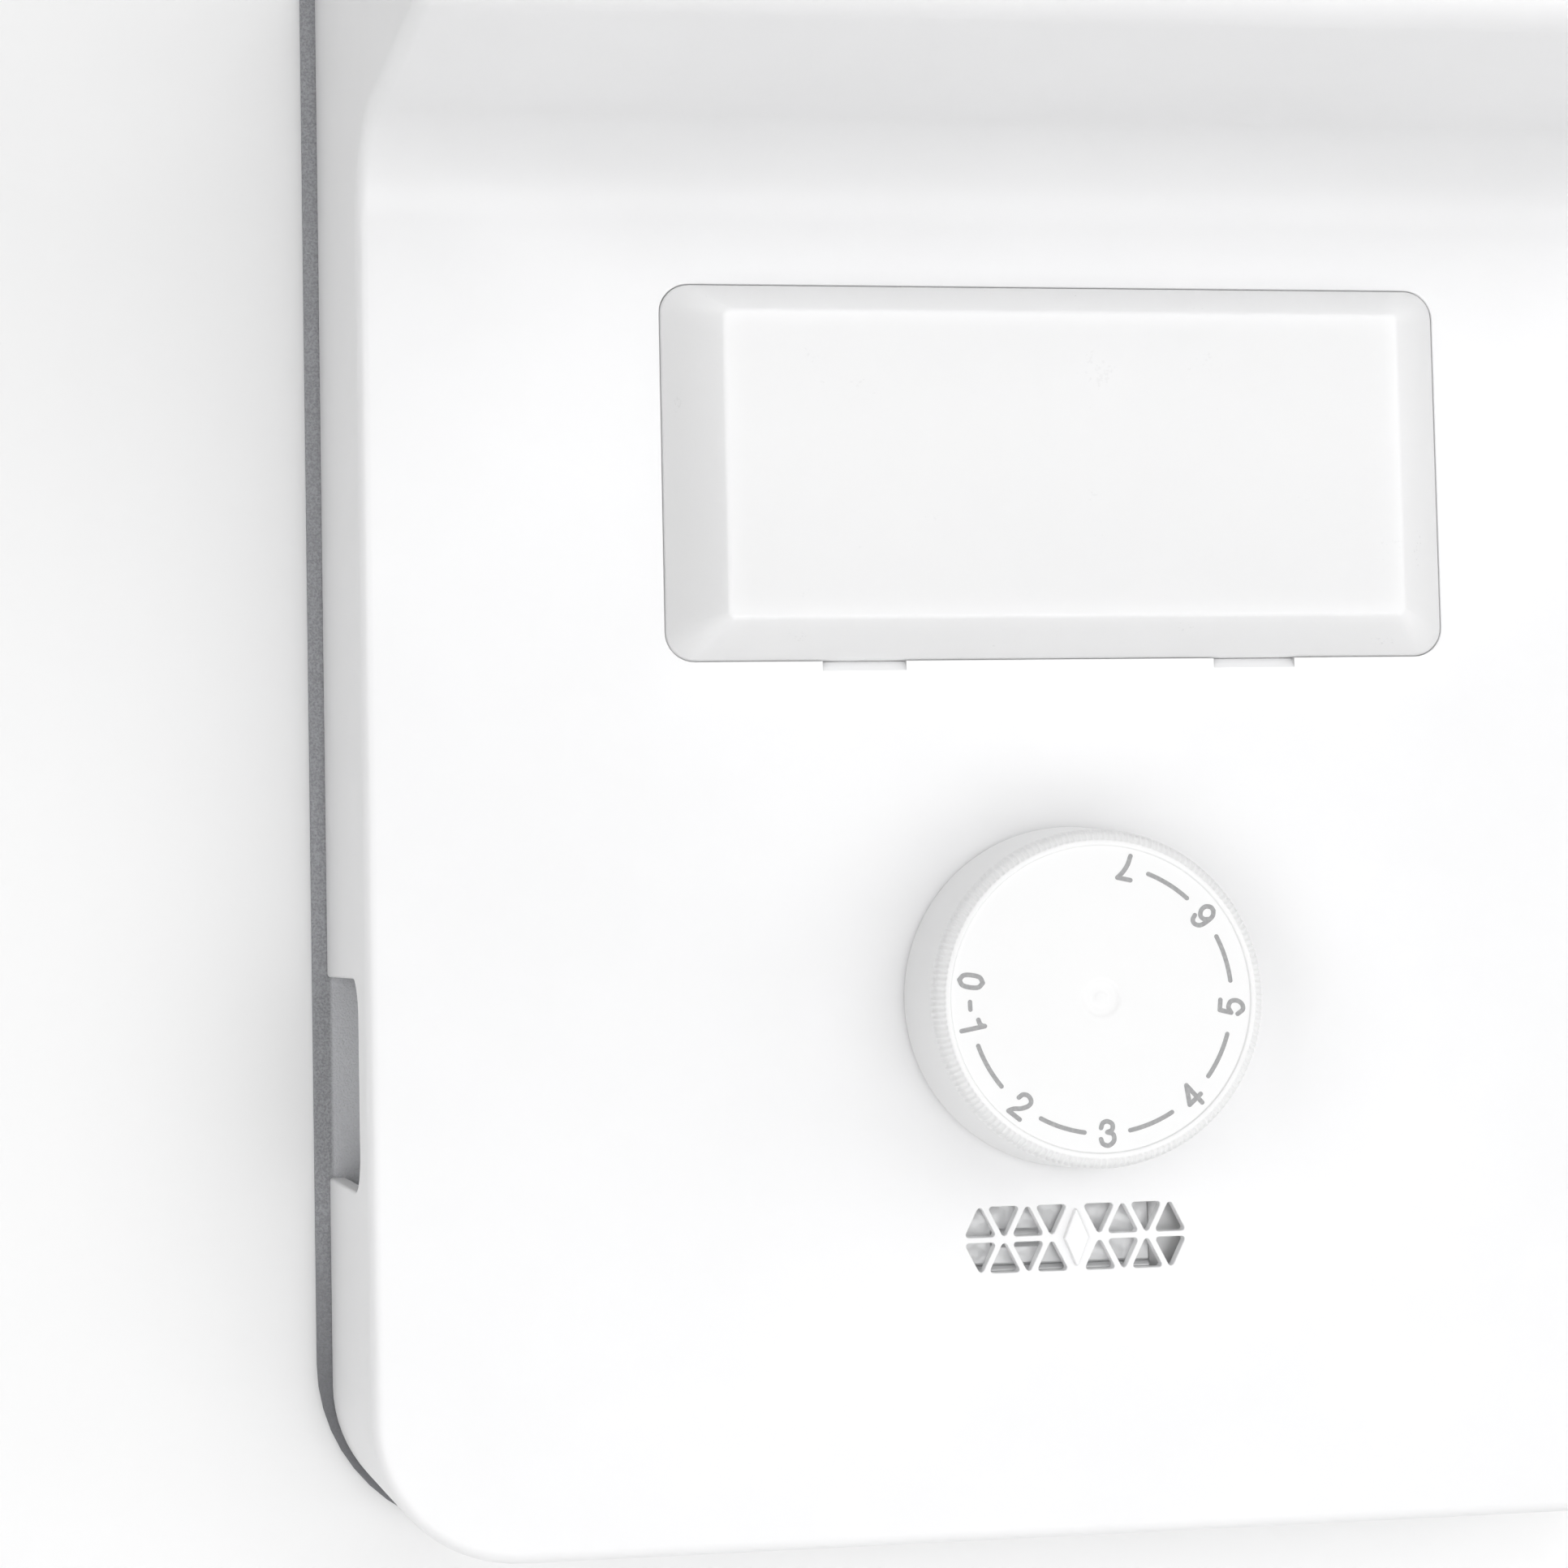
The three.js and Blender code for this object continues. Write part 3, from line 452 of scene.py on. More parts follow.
# The lamp cover's faint even white emission is painted light: it glows although no lamp in the scene lights
# it, and it softens the shading of its bevels.
lens_plastic = moulded("lens_plastic", (0.85, 0.85, 0.855), 0.30, grain=0.5, depth=0.002, drift=0.015,
                       Subsurface_Weight=0.6, Subsurface_Scale=0.006, Subsurface_Radius=(1, 1, 1),
                       Emission_Color=(1, 1, 1), Emission_Strength=0.075)
tray_plastic = moulded("tray_plastic", (0.82, 0.80, 0.74), 0.40)
black_plastic = moulded("black_plastic", (0.03, 0.031, 0.033), 0.5, drift=0.2)
white_foam = beaded("white_foam", (0.86, 0.86, 0.85))
# The paler skin colour is painted light on the gasket's inner front, and the darkening low down is painted
# shade.
grey_foam = cellular("grey_foam", (0.40, 0.405, 0.425), skin=(0.60, 0.605, 0.63))
steel = metal("zinc_steel", (0.62, 0.63, 0.64), 0.33)
spring_steel = metal("spring_steel", (0.42, 0.43, 0.45), 0.28)
brass = metal("brass", (0.78, 0.58, 0.28), 0.3)
copper = metal("copper", (0.72, 0.38, 0.24), 0.3)
foil = moulded("foil", (0.80, 0.805, 0.81), 0.3, grain=1.4, depth=0.03, drift=0.12, Metallic=0.25)
dial_ink = printed("dial_ink", (0.34, 0.34, 0.345))
bulb_glass = moulded("bulb_glass", (0.97, 0.975, 0.98), 0.06, grain=6, depth=0.01,
                     Transmission_Weight=1.0, IOR=1.45)
filament_metal = metal("filament_metal", (0.25, 0.24, 0.24), 0.5)
LEAD_COLOURS = {"lead_supply": (0.10, 0.045, 0.02), "lead_load": (0.02, 0.02, 0.022),
                "lead_lamp_live": (0.75, 0.75, 0.74), "lead_lamp_neutral": (0.03, 0.11, 0.36)}
lead_plastics = {name: moulded(name, colour, 0.45, drift=0.1) for name, colour in LEAD_COLOURS.items()}
print("finishes:", len(bpy.data.materials))


def dress(thing, body, material, slot, *stands_for):
    """Gives a new piece its finish and its body, and hides the engineering parts that it stands for."""
    thing.data.materials.clear()
    thing.data.materials.append(material)
    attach(thing, body)
    if stands_for:
        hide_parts(*stands_for)
    return thing

# %% [markdown]
# ## Stage
# The cover hangs on a wall, so the stage is a pale floor with a pale wall touching the back of the part.
# The wall has an opening just inside the part's outline: from the front nothing shows of it, and from
# behind the back of the part can be seen and lit. Seen from its rear, the wall is clear.

# %% Floor and wall
FLOOR_Z, FLOOR_HALF, WALL_HALF, WALL_HIGH, WALL_Y = -420, 1100, 3000, 2000, 0.4


def stage_paint(name, tone, see_through=False):
    """Matt pale paint with faint clouds, clear from the back if asked."""
    r = Recipe(name)
    cloud = r.ramp(r.noise(160, 2), 0.3, 0.7)
    r.finish(Base_Color=r.blend(cloud, (tone * 0.985,) * 3, (tone,) * 3), Roughness=0.7)
    if see_through:
        back = r.node("ShaderNodeNewGeometry", {}, {}, "Backfacing")
        clear = r.node("ShaderNodeBsdfTransparent", {}, {})
        mix = r.node("ShaderNodeMixShader", {}, {0: back, 2: clear})
        r.links.new(r.shader.outputs[0], mix.socket.node.inputs[1])
        r.links.new(mix.socket, r.nodes["Material Output"].inputs["Surface"])
    return r.material


def stage_piece(name, surface, material):
    """Builds a piece of the stage, which isn't part of the object."""
    thing = surface.build(name, closed=False)
    thing.data.materials.append(material)
    thing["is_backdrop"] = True


square = np.array([(-1, -1), (1, -1), (1, 1), (-1, 1)]) * FLOOR_HALF
floor = Surface()
floor.flat([np.insert(square, 2, FLOOR_Z, axis=1)], (0, 0, 1), axes=(0, 1))
stage_piece("floor", floor, stage_paint("floor_paint", 0.72))


def build_wall(opening):
    """The wall, down to the floor, with an opening."""
    edge = np.array([(-WALL_HALF, FLOOR_Z), (WALL_HALF, FLOOR_Z), (WALL_HALF, WALL_HIGH),
                     (-WALL_HALF, WALL_HIGH)])
    wall = Surface()
    wall.flat([at_depth(edge, WALL_Y), at_depth(opening, WALL_Y)], (0, -1, 0))
    stage_piece("wall", wall, stage_paint("wall_paint", 0.96, see_through=True))


# %% [markdown]
# ## Light
# The compartment is lit softly from the front by broad panels: the strongest high in front, weaker ones
# from both sides and from below, under the overhang. Another lights the back. The pale surroundings only
# show behind the stage. They give no light and no reflections, which would fill in every shadow.
# The view is shown without a film curve, so that near-whites stay near-white.

# %% Lights
def panel(name, place, aim, size, power):
    """A square area light at a place, turned towards a point."""
    data = bpy.data.lights.new(name, "AREA")
    data.shape, data.size, data.size_y, data.energy = "RECTANGLE", size[0], size[1], power
    lamp = bpy.data.objects.new(name, data)
    lamp.location = place
    lamp.rotation_euler = (Vector(aim) - Vector(place)).to_track_quat("-Z", "Y").to_euler()
    bpy.context.scene.collection.objects.link(lamp)


panel("key", (0.35, -1.5, 0.75), (0, 0, 0.03), (1.6, 1.2), 11.5)
panel("left_fill", (-1.1, -1.2, 0.3), (0, 0, 0.03), (0.8, 1.0), 6.5)
panel("right_fill", (1.4, -0.9, 0.2), (0, 0, 0), (1.0, 1.2), 6.0)
panel("low_fill", (0.0, -0.7, -0.27), (0, -0.07, 0.1), (1.2, 0.5), 3.2)
panel("rear_fill", (-0.9, 2.4, 1.6), (0, 0, 0.03), (2.6, 2.6), 38)
world = bpy.data.worlds.new("surroundings")
world.use_nodes = True
world.node_tree.nodes["Background"].inputs["Color"].default_value = (0.8, 0.8, 0.8, 1)
for ray in ("diffuse", "glossy", "transmission"):
    setattr(world.cycles_visibility, ray, False)
bpy.context.scene.world = world
bpy.context.scene.view_settings.view_transform = "Standard"

# %% [markdown]
# ## The front cover
# One moulding: an upright face that sweeps forward into an overhang, tapered side walls, two round lower
# corners. It could be bevelled from the engineering solid, but a bevel gives up at the corner where the
# sweep, the side and the edge meet. Here its sharp edge is a path. At each point of the path the two
# neighbouring surfaces have known directions, and a ball rolled along the path between them gives the
# rounded edge. The flat and swept areas then fill what lies between the rounded edges.

# %% Cover dimensions, in millimetres
WALL_T, FACE_Y, FACE_HALF, SIDE_DRAFT = 2.2, -45.0, 107.0, 0.15
BOTTOM_Z, LOW_DRAFT, CORNER_R, TOP_Z, REAR_Y = -82.3, 0.024, 22.0, 172.0, -2.3
SWEEP_R, HOOD_Z, HOOD_RISE, HOOD_Y, HOOD_EDGE_R = 15.5, 132.0, 2.0, -107.0, 6.0
EDGE_R, INNER_EDGE_R = 2.2, 0.8
GAP, LENS_GAP = 0.3, 0.12
OUTLET_FRONT, OUTLET_LOW, OUTLET_HIGH, OUTLET_R, OUTLET_EDGE = -36.0, -27.6, 4.9, 6.0, 0.5


def drafted(p, y):
    """Points of the face's plane carried to depth y, out along the walls' draft."""
    behind = y - FACE_Y
    x = p[:, 0] * (1 + SIDE_DRAFT * behind / FACE_HALF)
    z = np.where(p[:, 2] < 0, p[:, 2] * (1 - LOW_DRAFT * behind / BOTTOM_Z), p[:, 2])
    return np.stack([x, np.broadcast_to(y, x.shape), z], 1)


def side_profile(t):
    """Y, Z and facing of the cover seen from its side, inset by t, from rear top to the face."""
    r = HOOD_EDGE_R - t
    turn = np.linspace(90, 180, 11)
    sweep = np.linspace(90, 0, 25)
    unit = lambda a: np.stack([np.cos(np.radians(a)), np.sin(np.radians(a))], 1)
    parts = [
        (np.array([[REAR_Y, TOP_Z - t]]), np.array([[0.0, 1.0]])),
        ((HOOD_Y + HOOD_EDGE_R, TOP_Z - HOOD_EDGE_R) + r * unit(turn), unit(turn)),
        ((HOOD_Y + HOOD_EDGE_R, HOOD_Z + HOOD_RISE + HOOD_EDGE_R) + r * unit(turn + 90), unit(turn + 90)),
        ((FACE_Y - SWEEP_R, HOOD_Z - SWEEP_R) + (SWEEP_R + t) * unit(sweep), -unit(sweep)),
    ]
    return np.concatenate([p for p, _ in parts]), np.concatenate([n for _, n in parts])


def edge_path(t):
    """Sharp edge of the left half, the facing of the surfaces on its two sides, and its rear corner."""
    half, corner = FACE_HALF - t, CORNER_R - t
    lean = SIDE_DRAFT * half / FACE_HALF
    side = np.array([-1, -lean, 0]) / math.hypot(1, lean)
    yz, facing = side_profile(t)
    upper = np.stack([-(half + lean * (yz[:, 0] - FACE_Y)), yz[:, 0], yz[:, 1]], 1)
    upper_cap = np.insert(facing, 0, 0, axis=1)
    a = np.radians(np.linspace(180, 270, 19))
    plain = np.stack([-(FACE_HALF - CORNER_R) + corner * np.cos(a), 0 * a,
                      BOTTOM_Z + CORNER_R + corner * np.sin(a)], 1)
    lower = drafted(plain, FACE_Y + t)
    round_corner = np.stack([-np.sin(a), 0 * a, np.cos(a)], 1)
    down_draft = np.stack([lean * plain[:, 0] / half, 0 * a + 1, -LOW_DRAFT * plain[:, 2] / BOTTOM_Z], 1)
    wall = np.cross(round_corner, down_draft)
    wall *= np.sign(wall[:, :1] * np.cos(a)[:, None] + wall[:, 2:] * np.sin(a)[:, None])
    wall /= np.linalg.norm(wall, axis=1, keepdims=True)
    edge = np.concatenate([upper, lower])
    cap = np.concatenate([upper_cap, np.tile([0.0, -1, 0], (19, 1))])
    flank = np.concatenate([np.tile(side, (len(upper), 1)), wall])
    return edge, cap, flank, drafted(plain, REAR_Y)


def rolled_edge(edge, cap, flank, radius, steps=6):
    """Rows of points of a ball's track between two surfaces that meet at an edge, and their facing."""
    dot = (cap * flank).sum(1, keepdims=True)
    centre = edge - radius * (cap + flank) / (1 + dot)
    angle = np.arccos(np.clip(dot, -1, 1))
    rows = []
    for s in np.linspace(0, 1, steps + 1):
        rows.append((np.sin((1 - s) * angle) * cap + np.sin(s * angle) * flank) / np.sin(angle))
    facing = np.stack(rows)
    points = centre + radius * facing
    points[..., 1] = np.minimum(points[..., 1], REAR_Y)
    return points, facing


MIRROR = np.array([-1.0, 1, 1])


def outlet_edge(grow, steps=8):
    """The outlet's edge in Y and Z, from its lower rear end round to its upper rear end."""
    r = OUTLET_R + grow
    y = OUTLET_FRONT + OUTLET_R
    low = arc((y, OUTLET_LOW + OUTLET_R), r, 270, 180, steps)
    high = arc((y, OUTLET_HIGH - OUTLET_R), r, 180, 90, steps)
    return np.concatenate([[(REAR_Y, low[0, 1])], low, high, [(REAR_Y, high[-1, 1])]])


def on_side(yz, t, inset=0.0):
    """Points of the left side wall, inset by t from the outside and then by inset again."""
    half = FACE_HALF - t
    x = -(half * (1 + SIDE_DRAFT * (yz[:, 0] - FACE_Y) / FACE_HALF) - inset)
    return np.stack([x, yz[:, 0], yz[:, 1]], 1)


def skin(surface, t, radius, outlet_grow):
    """One skin of the cover, inset by t, without its face. Returns the face's edge and the rear edge."""
    edge, cap, flank, rear = edge_path(t)
    top = len(edge) - len(rear)
    points, facing = rolled_edge(edge, cap, flank, radius)
    for sign in (1, MIRROR):
        surface.grid(points * sign, facing * sign)
        sides = np.stack([points[-1, top:], rear])
        surface.grid(sides * sign, np.stack([flank[top:]] * 2) * sign)
        outlet = on_side(outlet_edge(outlet_grow), t)
        wall = np.concatenate([points[-1, :top + 1], sides[1, :1], outlet])
        surface.flat([wall * sign], flank[0] * sign, axes=(1, 2))
    caps = np.stack([points[0, :top], points[0, :top] * MIRROR], 1)
    surface.grid(caps, np.stack([facing[0, :top]] * 2, 1))
    bottom = np.stack([points[:, -1], points[:, -1] * MIRROR], 1)
    surface.grid(bottom, np.stack([facing[:, -1]] * 2, 1))
    floor_rear = np.stack([sides[1, -1], sides[1, -1] * MIRROR])
    surface.grid(np.stack([bottom[-1], floor_rear]), flank[-1])
    face_edge = points[0, top - 1:]
    face = np.concatenate([face_edge, face_edge[::-1] * MIRROR])
    rear_low = np.concatenate([outlet[:1], sides[1]])
    rear_high = np.concatenate([outlet[-1:], points[::-1, 0]])
    return face, rear_low, rear_high


# %% [markdown]
# The face carries the openings. Each opening's outline is a function of how far it is moved outwards, so
# that its rounded rim, its wall and the hole in the flat face all come from the same line.

# %% Openings of the face
LENS_HALF, LENS_LOW, LENS_HIGH, LENS_R = 61.3, 52.1, 109.9, 4.4
CATCH_X, SLOT_W, SLOT_H = 30.8, 13.0, 1.4
GRILLE_Z, GRILLE_RIB, HOLE_PITCH, HOLE_BASE, HOLE_H, HOLE_R = -36.8, 0.85, 3.72, 5.0, 4.6, 0.45
RIM = 0.2


def lens_opening(grow=0, slot=SLOT_H):
    """The lamp cover's opening, with two finger slots in its lower edge."""
    g = LENS_GAP
    around = rectangle(-LENS_HALF - g, LENS_HALF + g, LENS_LOW - g, LENS_HIGH + g, LENS_R + g)
    low = LENS_LOW - g - grow
    slots = [(x + s * SLOT_W / 2, low - d) for x in (-CATCH_X, CATCH_X)
             for s, d in ((-1, 0), (-1, slot), (1, slot), (1, 0))]
    return np.concatenate([around(grow), slots])


def triangle(x, base_z, up):
    """A grille hole: a triangle pulled in by its corner radius, then let out again by round corners."""
    tall = (1 if up else -1) * HOLE_H * 1.08
    tips = np.array([(x - HOLE_BASE / 2, base_z), (x + HOLE_BASE / 2, base_z), (x, base_z + tall)])
    tips = tips if up else tips[::-1]
    sides = np.linalg.norm(np.roll(tips, -1, 0) - np.roll(tips, 1, 0), axis=1)
    middle = (tips * sides[:, None]).sum(0) / sides.sum()
    inradius = HOLE_BASE * abs(tall) / sides.sum()
    pegs = middle + (tips - middle) * (1 - HOLE_R / inradius)
    return lambda grow=0: round_outline(pegs, HOLE_R + grow, 4)


def grille():
    """Two rows of four holes on each side of the pointer, alternately base up and base down."""
    holes = []
    for x, wide_top in [(s * (i + 1) * HOLE_PITCH, i % 2 == 0) for s in (-1, 1) for i in range(4)]:
        top, low = GRILLE_Z + GRILLE_RIB / 2, GRILLE_Z - GRILLE_RIB / 2
        holes.append(triangle(x, top + (HOLE_H if wide_top else 0), not wide_top))
        holes.append(triangle(x, low - (HOLE_H if wide_top else 0), wide_top))
    return holes


POINTER_PEGS = np.array([(0, -4.0), (1.65, 0), (0, 4.0), (-1.65, 0)]) + (0, GRILLE_Z)
pointer = lambda grow=0: round_outline(POINTER_PEGS, 0.3 + grow, 3)
plain_holes = [circle(0, 0, 9.0), circle(-13, 0, 1.8, 16), circle(13, 0, 1.8, 16)] + grille()

# %% Front cover
INNER_Y = FACE_Y + WALL_T
cover = Surface()
outer_face, outer_low, outer_high = skin(cover, 0, EDGE_R, OUTLET_EDGE)
inner_face, inner_low, inner_high = skin(cover, WALL_T, INNER_EDGE_R, 0)
cover.flat([outer_face, at_depth(lens_opening(RIM), FACE_Y), at_depth(pointer(0.1), FACE_Y)]
           + [at_depth(hole(RIM), FACE_Y) for hole in plain_holes], (0, -1, 0))
cover.flat([inner_face, at_depth(lens_opening(0, 0), INNER_Y)]
           + [at_depth(hole(0), INNER_Y) for hole in plain_holes], (0, 1, 0))
for hole in plain_holes:
    rim(cover, hole, FACE_Y, INNER_Y, RIM, 0, hole=True)

quarter = np.radians(np.linspace(0, 90, 5))
rows = [at_depth(lens_opening(RIM * (1 - np.sin(t))), FACE_Y + RIM * (1 - np.cos(t))) for t in quarter]
cover.grid(np.stack(rows), wrap=True)
for slot, near, far in ((SLOT_H, RIM, 1.7), (0, 1.7, WALL_T)):
    cover.grid(np.stack([at_depth(lens_opening(0, slot), FACE_Y + near),
                         at_depth(lens_opening(0, 0), FACE_Y + far)]), wrap=True)

rows = [at_depth(pointer(grow), FACE_Y - proud) for grow, proud in
        ((0.1, 0), (0, 0.12), (-0.02, 0.5), (-0.1, 0.72), (-0.28, 0.8))]
cover.grid(np.stack(rows), wrap=True)
cover.flat([rows[-1]], (0, -1, 0))

outlet_rows = [on_side(outlet_edge(OUTLET_EDGE * (1 - np.sin(t))), 0, OUTLET_EDGE * (1 - np.cos(t)))
               for t in quarter] + [on_side(outlet_edge(0), WALL_T)]
lip = np.stack(outlet_rows)
for sign in (1, MIRROR):
    cover.grid(lip * sign)


def rear_ring(outer, inner, across):
    """Loop round one piece of the rear rim: half the outside, its mirror image, and back inside."""
    return np.concatenate([outer, outer[::-1] * MIRROR, across * MIRROR,
                           inner * MIRROR, inner[::-1], across[::-1]])


cover.flat([rear_ring(outer_low, inner_low, lip[1:-1, 0])], (0, 1, 0))
cover.flat([rear_ring(outer_high, inner_high, lip[1:-1, -1])], (0, 1, 0))
dress(cover.build("cover_shell"), "root", cover_plastic, "cover_plastic", "front_cover")

# %% [markdown]
# ## The lamp cover
# A shallow pan of milky plastic that clips into the opening. It is a stack of rounded rectangles: the
# skirt behind the face, the sloping border in front of it, and the flat panel, with the edges between
# them eased. The same stack, set in by the wall's thickness, is its inside.

# %% Lamp cover
LENS_PROUD, BEVEL_X, BEVEL_Z, LENS_WALL, LENS_BACK = 8.8, 8.9, 5.6, 1.6, -39.5


def eased(stations, radius, steps=5):
    """A line through stations with each inner corner replaced by a parabola that starts radius away."""
    p = np.asarray(stations, float)
    line = [p[:1]]
    for before, corner, after in zip(p, p[1:], p[2:]):
        a, b = (corner + (end - corner) * min(radius / np.linalg.norm(end - corner), 0.45)
                for end in (before, after))
        s = np.linspace(0, 1, steps + 1)[:, None]
        line.append((1 - s) ** 2 * a + 2 * s * (1 - s) * corner + s ** 2 * b)
    return np.concatenate(line + [p[-1:]])


def lens_stack(t):
    """Rows of the pan's skin: in from the side, in from top and bottom, corner radius and depth."""
    front = FACE_Y - LENS_PROUD + t
    rows = eased([(t, t, LENS_R - t, LENS_BACK), (t, t, LENS_R - t, FACE_Y),
                  (BEVEL_X + t, BEVEL_Z + t, 1.2, front),
                  (BEVEL_X + t + 2, BEVEL_Z + t + 2, 1.0, front)], 0.7)
    return np.stack([at_depth(rectangle(-LENS_HALF + x, LENS_HALF - x, LENS_LOW + z, LENS_HIGH - z,
                                        max(r, 0.4))(), y) for x, z, r, y in rows])


def block(surface, x0, x1, y0, y1, z0, z1, edge=0.3):
    """A small block with rounded edges, carried along Y."""
    plate(surface, rectangle(x0, x1, z0, z1, edge, 3), [], y0, y1, edge)


lens = Surface()
outside, inside = lens_stack(0), lens_stack(LENS_WALL)
for stack, normal in ((outside, (0, -1, 0)), (inside, (0, 1, 0))):
    lens.grid(stack, wrap=True)
    lens.flat([stack[-1]], normal)
lens.flat([outside[0], inside[0]], (0, 1, 0))
HOOK_X, HOOK_Y = 38.0, FACE_Y + WALL_T + GAP + 0.2
for x in (-HOOK_X, HOOK_X):
    block(lens, x - 6, x + 6, HOOK_Y, HOOK_Y + 1.8, LENS_HIGH - 1, LENS_HIGH + 3.3)
for x in (-CATCH_X, CATCH_X):
    block(lens, x - 5, x + 5, HOOK_Y, HOOK_Y + 1.7, LENS_LOW - 1.1, LENS_LOW + 1)
dress(lens.build("lamp_cover_pan"), "lens", lens_plastic, "lens_plastic", "lamp_cover")

# %% [markdown]
# ## The knob
# A turned shape: a profile of radius and depth carried round the axis. Its front rim is knurled for
# grip, which is the same profile with the radius moved in and out 165 times a turn. Inside it is hollow,
# with a hub and a bore for the thermostat's shaft.

# %% Knob
def about_y(x, z):
    """Places a turned shape on an axis along Y."""
    return lambda across, along, up: np.stack([across + x, along, up + z], -1)


def about_x(y, z):
    """Places a turned shape on an axis along X."""
    return lambda across, along, up: np.stack([along, across + y, up + z], -1)


def turned(surface, runs, place, steps=64, ripple=None):
    """Carries runs of (radius, depth) round an axis. Each run is smooth; its ends are edges."""
    a = np.radians(np.linspace(0, 360, steps + 1))[:-1]
    for run in runs:
        r, along = np.asarray(run, float).T[:, :, None]
        r = r + (ripple(a, along) * (r > 0.01) if ripple else 0 * a)
        along = np.broadcast_to(along, r.shape)
        surface.grid(place(r * np.cos(a), along, r * np.sin(a)), wrap=True)


TEETH, TOOTH, BAND_BACK, BAND_FRONT = 165, 0.34, -62.4, -65.25
FACE_FRONT, KNOB_BASE, KNOB_FLAT = -65.3, -45.7, -65.02


def knurl(a, along):
    """Round grooves with sharp ridges between, gone at both ends of the band."""
    share = np.clip((along - BAND_BACK) / (BAND_FRONT - BAND_BACK), 0, 1)
    return -TOOTH * np.abs(np.sin(a * TEETH / 2)) * np.clip(9 * share * (1 - share), 0, 1)


side_run = eased([(25.9, KNOB_BASE), (26, KNOB_BASE - 0.1), (25.7, -50.4), (25.05, -62.3)], 0.2)
nose = eased([(25.05, -62.3), (24.75, -64.1), (23.35, FACE_FRONT), (22.8, FACE_FRONT)], 0.7, 6)
reach = np.cumsum(np.concatenate([[0], np.linalg.norm(np.diff(nose, axis=0), axis=1)]))
nose_run = np.stack([np.interp(np.linspace(0, 1, 17) * reach[-1], reach, nose[:, i]) for i in (0, 1)], 1)
lip_run = eased([(22.8, FACE_FRONT), (22.62, FACE_FRONT + 0.04), (22.5, KNOB_FLAT), (22.0, KNOB_FLAT)], 0.12)
dimple = eased([(22.0, KNOB_FLAT), (2.9, KNOB_FLAT), (2.3, KNOB_FLAT + 0.28), (1.2, KNOB_FLAT + 0.3),
                (0.8, KNOB_FLAT + 0.1), (0, KNOB_FLAT + 0.05)], 0.35)
hollow = [[(25.9, KNOB_BASE), (23.8, KNOB_BASE)], [(23.8, KNOB_BASE), (22.4, -63.1)],
          [(22.4, -63.1), (6, -63.1)], [(6, -63.1), (6, -49.4)], [(6, -49.4), (3.3, -49.4)],
          [(3.3, -49.4), (3.3, -60.8)], [(3.3, -60.8), (0, -60.8)]]
knob = Surface()
turned(knob, [nose_run], about_y(0, 0), TEETH * 6, knurl)
turned(knob, [side_run, lip_run, dimple] + hollow, about_y(0, 0), TEETH * 6)
dress(knob.build("knob_body"), "control", knob_plastic, "cover_plastic", "control_knob")

# %% [markdown]
# The dial is printed: numbers with their tops towards the middle, and arcs between them. A font would
# bring a typeface of its own, so each number is a few plain strokes. A stroke is a ribbon with round
# ends along a smooth path, six hundredths of a millimetre thick, half of it sunk into the face.

# %% Dial
def smooth_path(points, steps=12):
    """A Catmull-Rom curve through points, each stretch a cubic blend of its four nearest points."""
    p = np.asarray(points, float)
    p = np.concatenate([2 * p[:1] - p[1:2], p, 2 * p[-1:] - p[-2:-1]])
    s = np.linspace(0, 1, steps + 1)[:-1, None]
    parts = [b + 0.5 * s * (c - a + s * (2 * a - 5 * b + 4 * c - d + s * (3 * (b - c) + d - a)))
             for a, b, c, d in zip(p, p[1:], p[2:], p[3:])]
    return np.concatenate(parts + [p[-2:-1]])


DIAL_R, ARC_HALF, LINE_HALF = 19.7, 11.0, 0.33
NUMBERS = {"7": 77.7, "6": 36.9, "5": -4.7, "4": -47.7, "3": -89.0, "2": -129.2, "1": -169.5, "0": 171.2}
ARCS = (57.5, 16.5, -26.6, -68.9, -109.0, -151.0)
INK_FRONT, INK_BACK = KNOB_FLAT - 0.03, KNOB_FLAT + 0.03


def bent_dash(middle, half, radius, width):
    """Outline of a round-ended stroke that follows a circle."""
    def outline(grow=0):
        w = width + grow
        a, b = middle - half, middle + half
        tip = lambda angle: (radius * math.cos(math.radians(angle)), radius * math.sin(math.radians(angle)))
        arcs = (arc((0, 0), radius + w, a, b, 16), arc(tip(b), w, b, b + 180, 8),
                arc((0, 0), radius - w, b, a, 16), arc(tip(a), w, a + 180, a + 360, 8))
        return np.concatenate([points[:-1] for points in arcs])
    return outline


dashes = Surface()
for outline in [bent_dash(a, ARC_HALF - 1, DIAL_R, LINE_HALF) for a in ARCS] + [
        bent_dash(181.6, 1.6, DIAL_R, LINE_HALF)]:
    plate(dashes, outline, [], INK_FRONT, INK_BACK)
dress(dashes.build("dial_arcs"), "control", dial_ink, "cover_plastic")


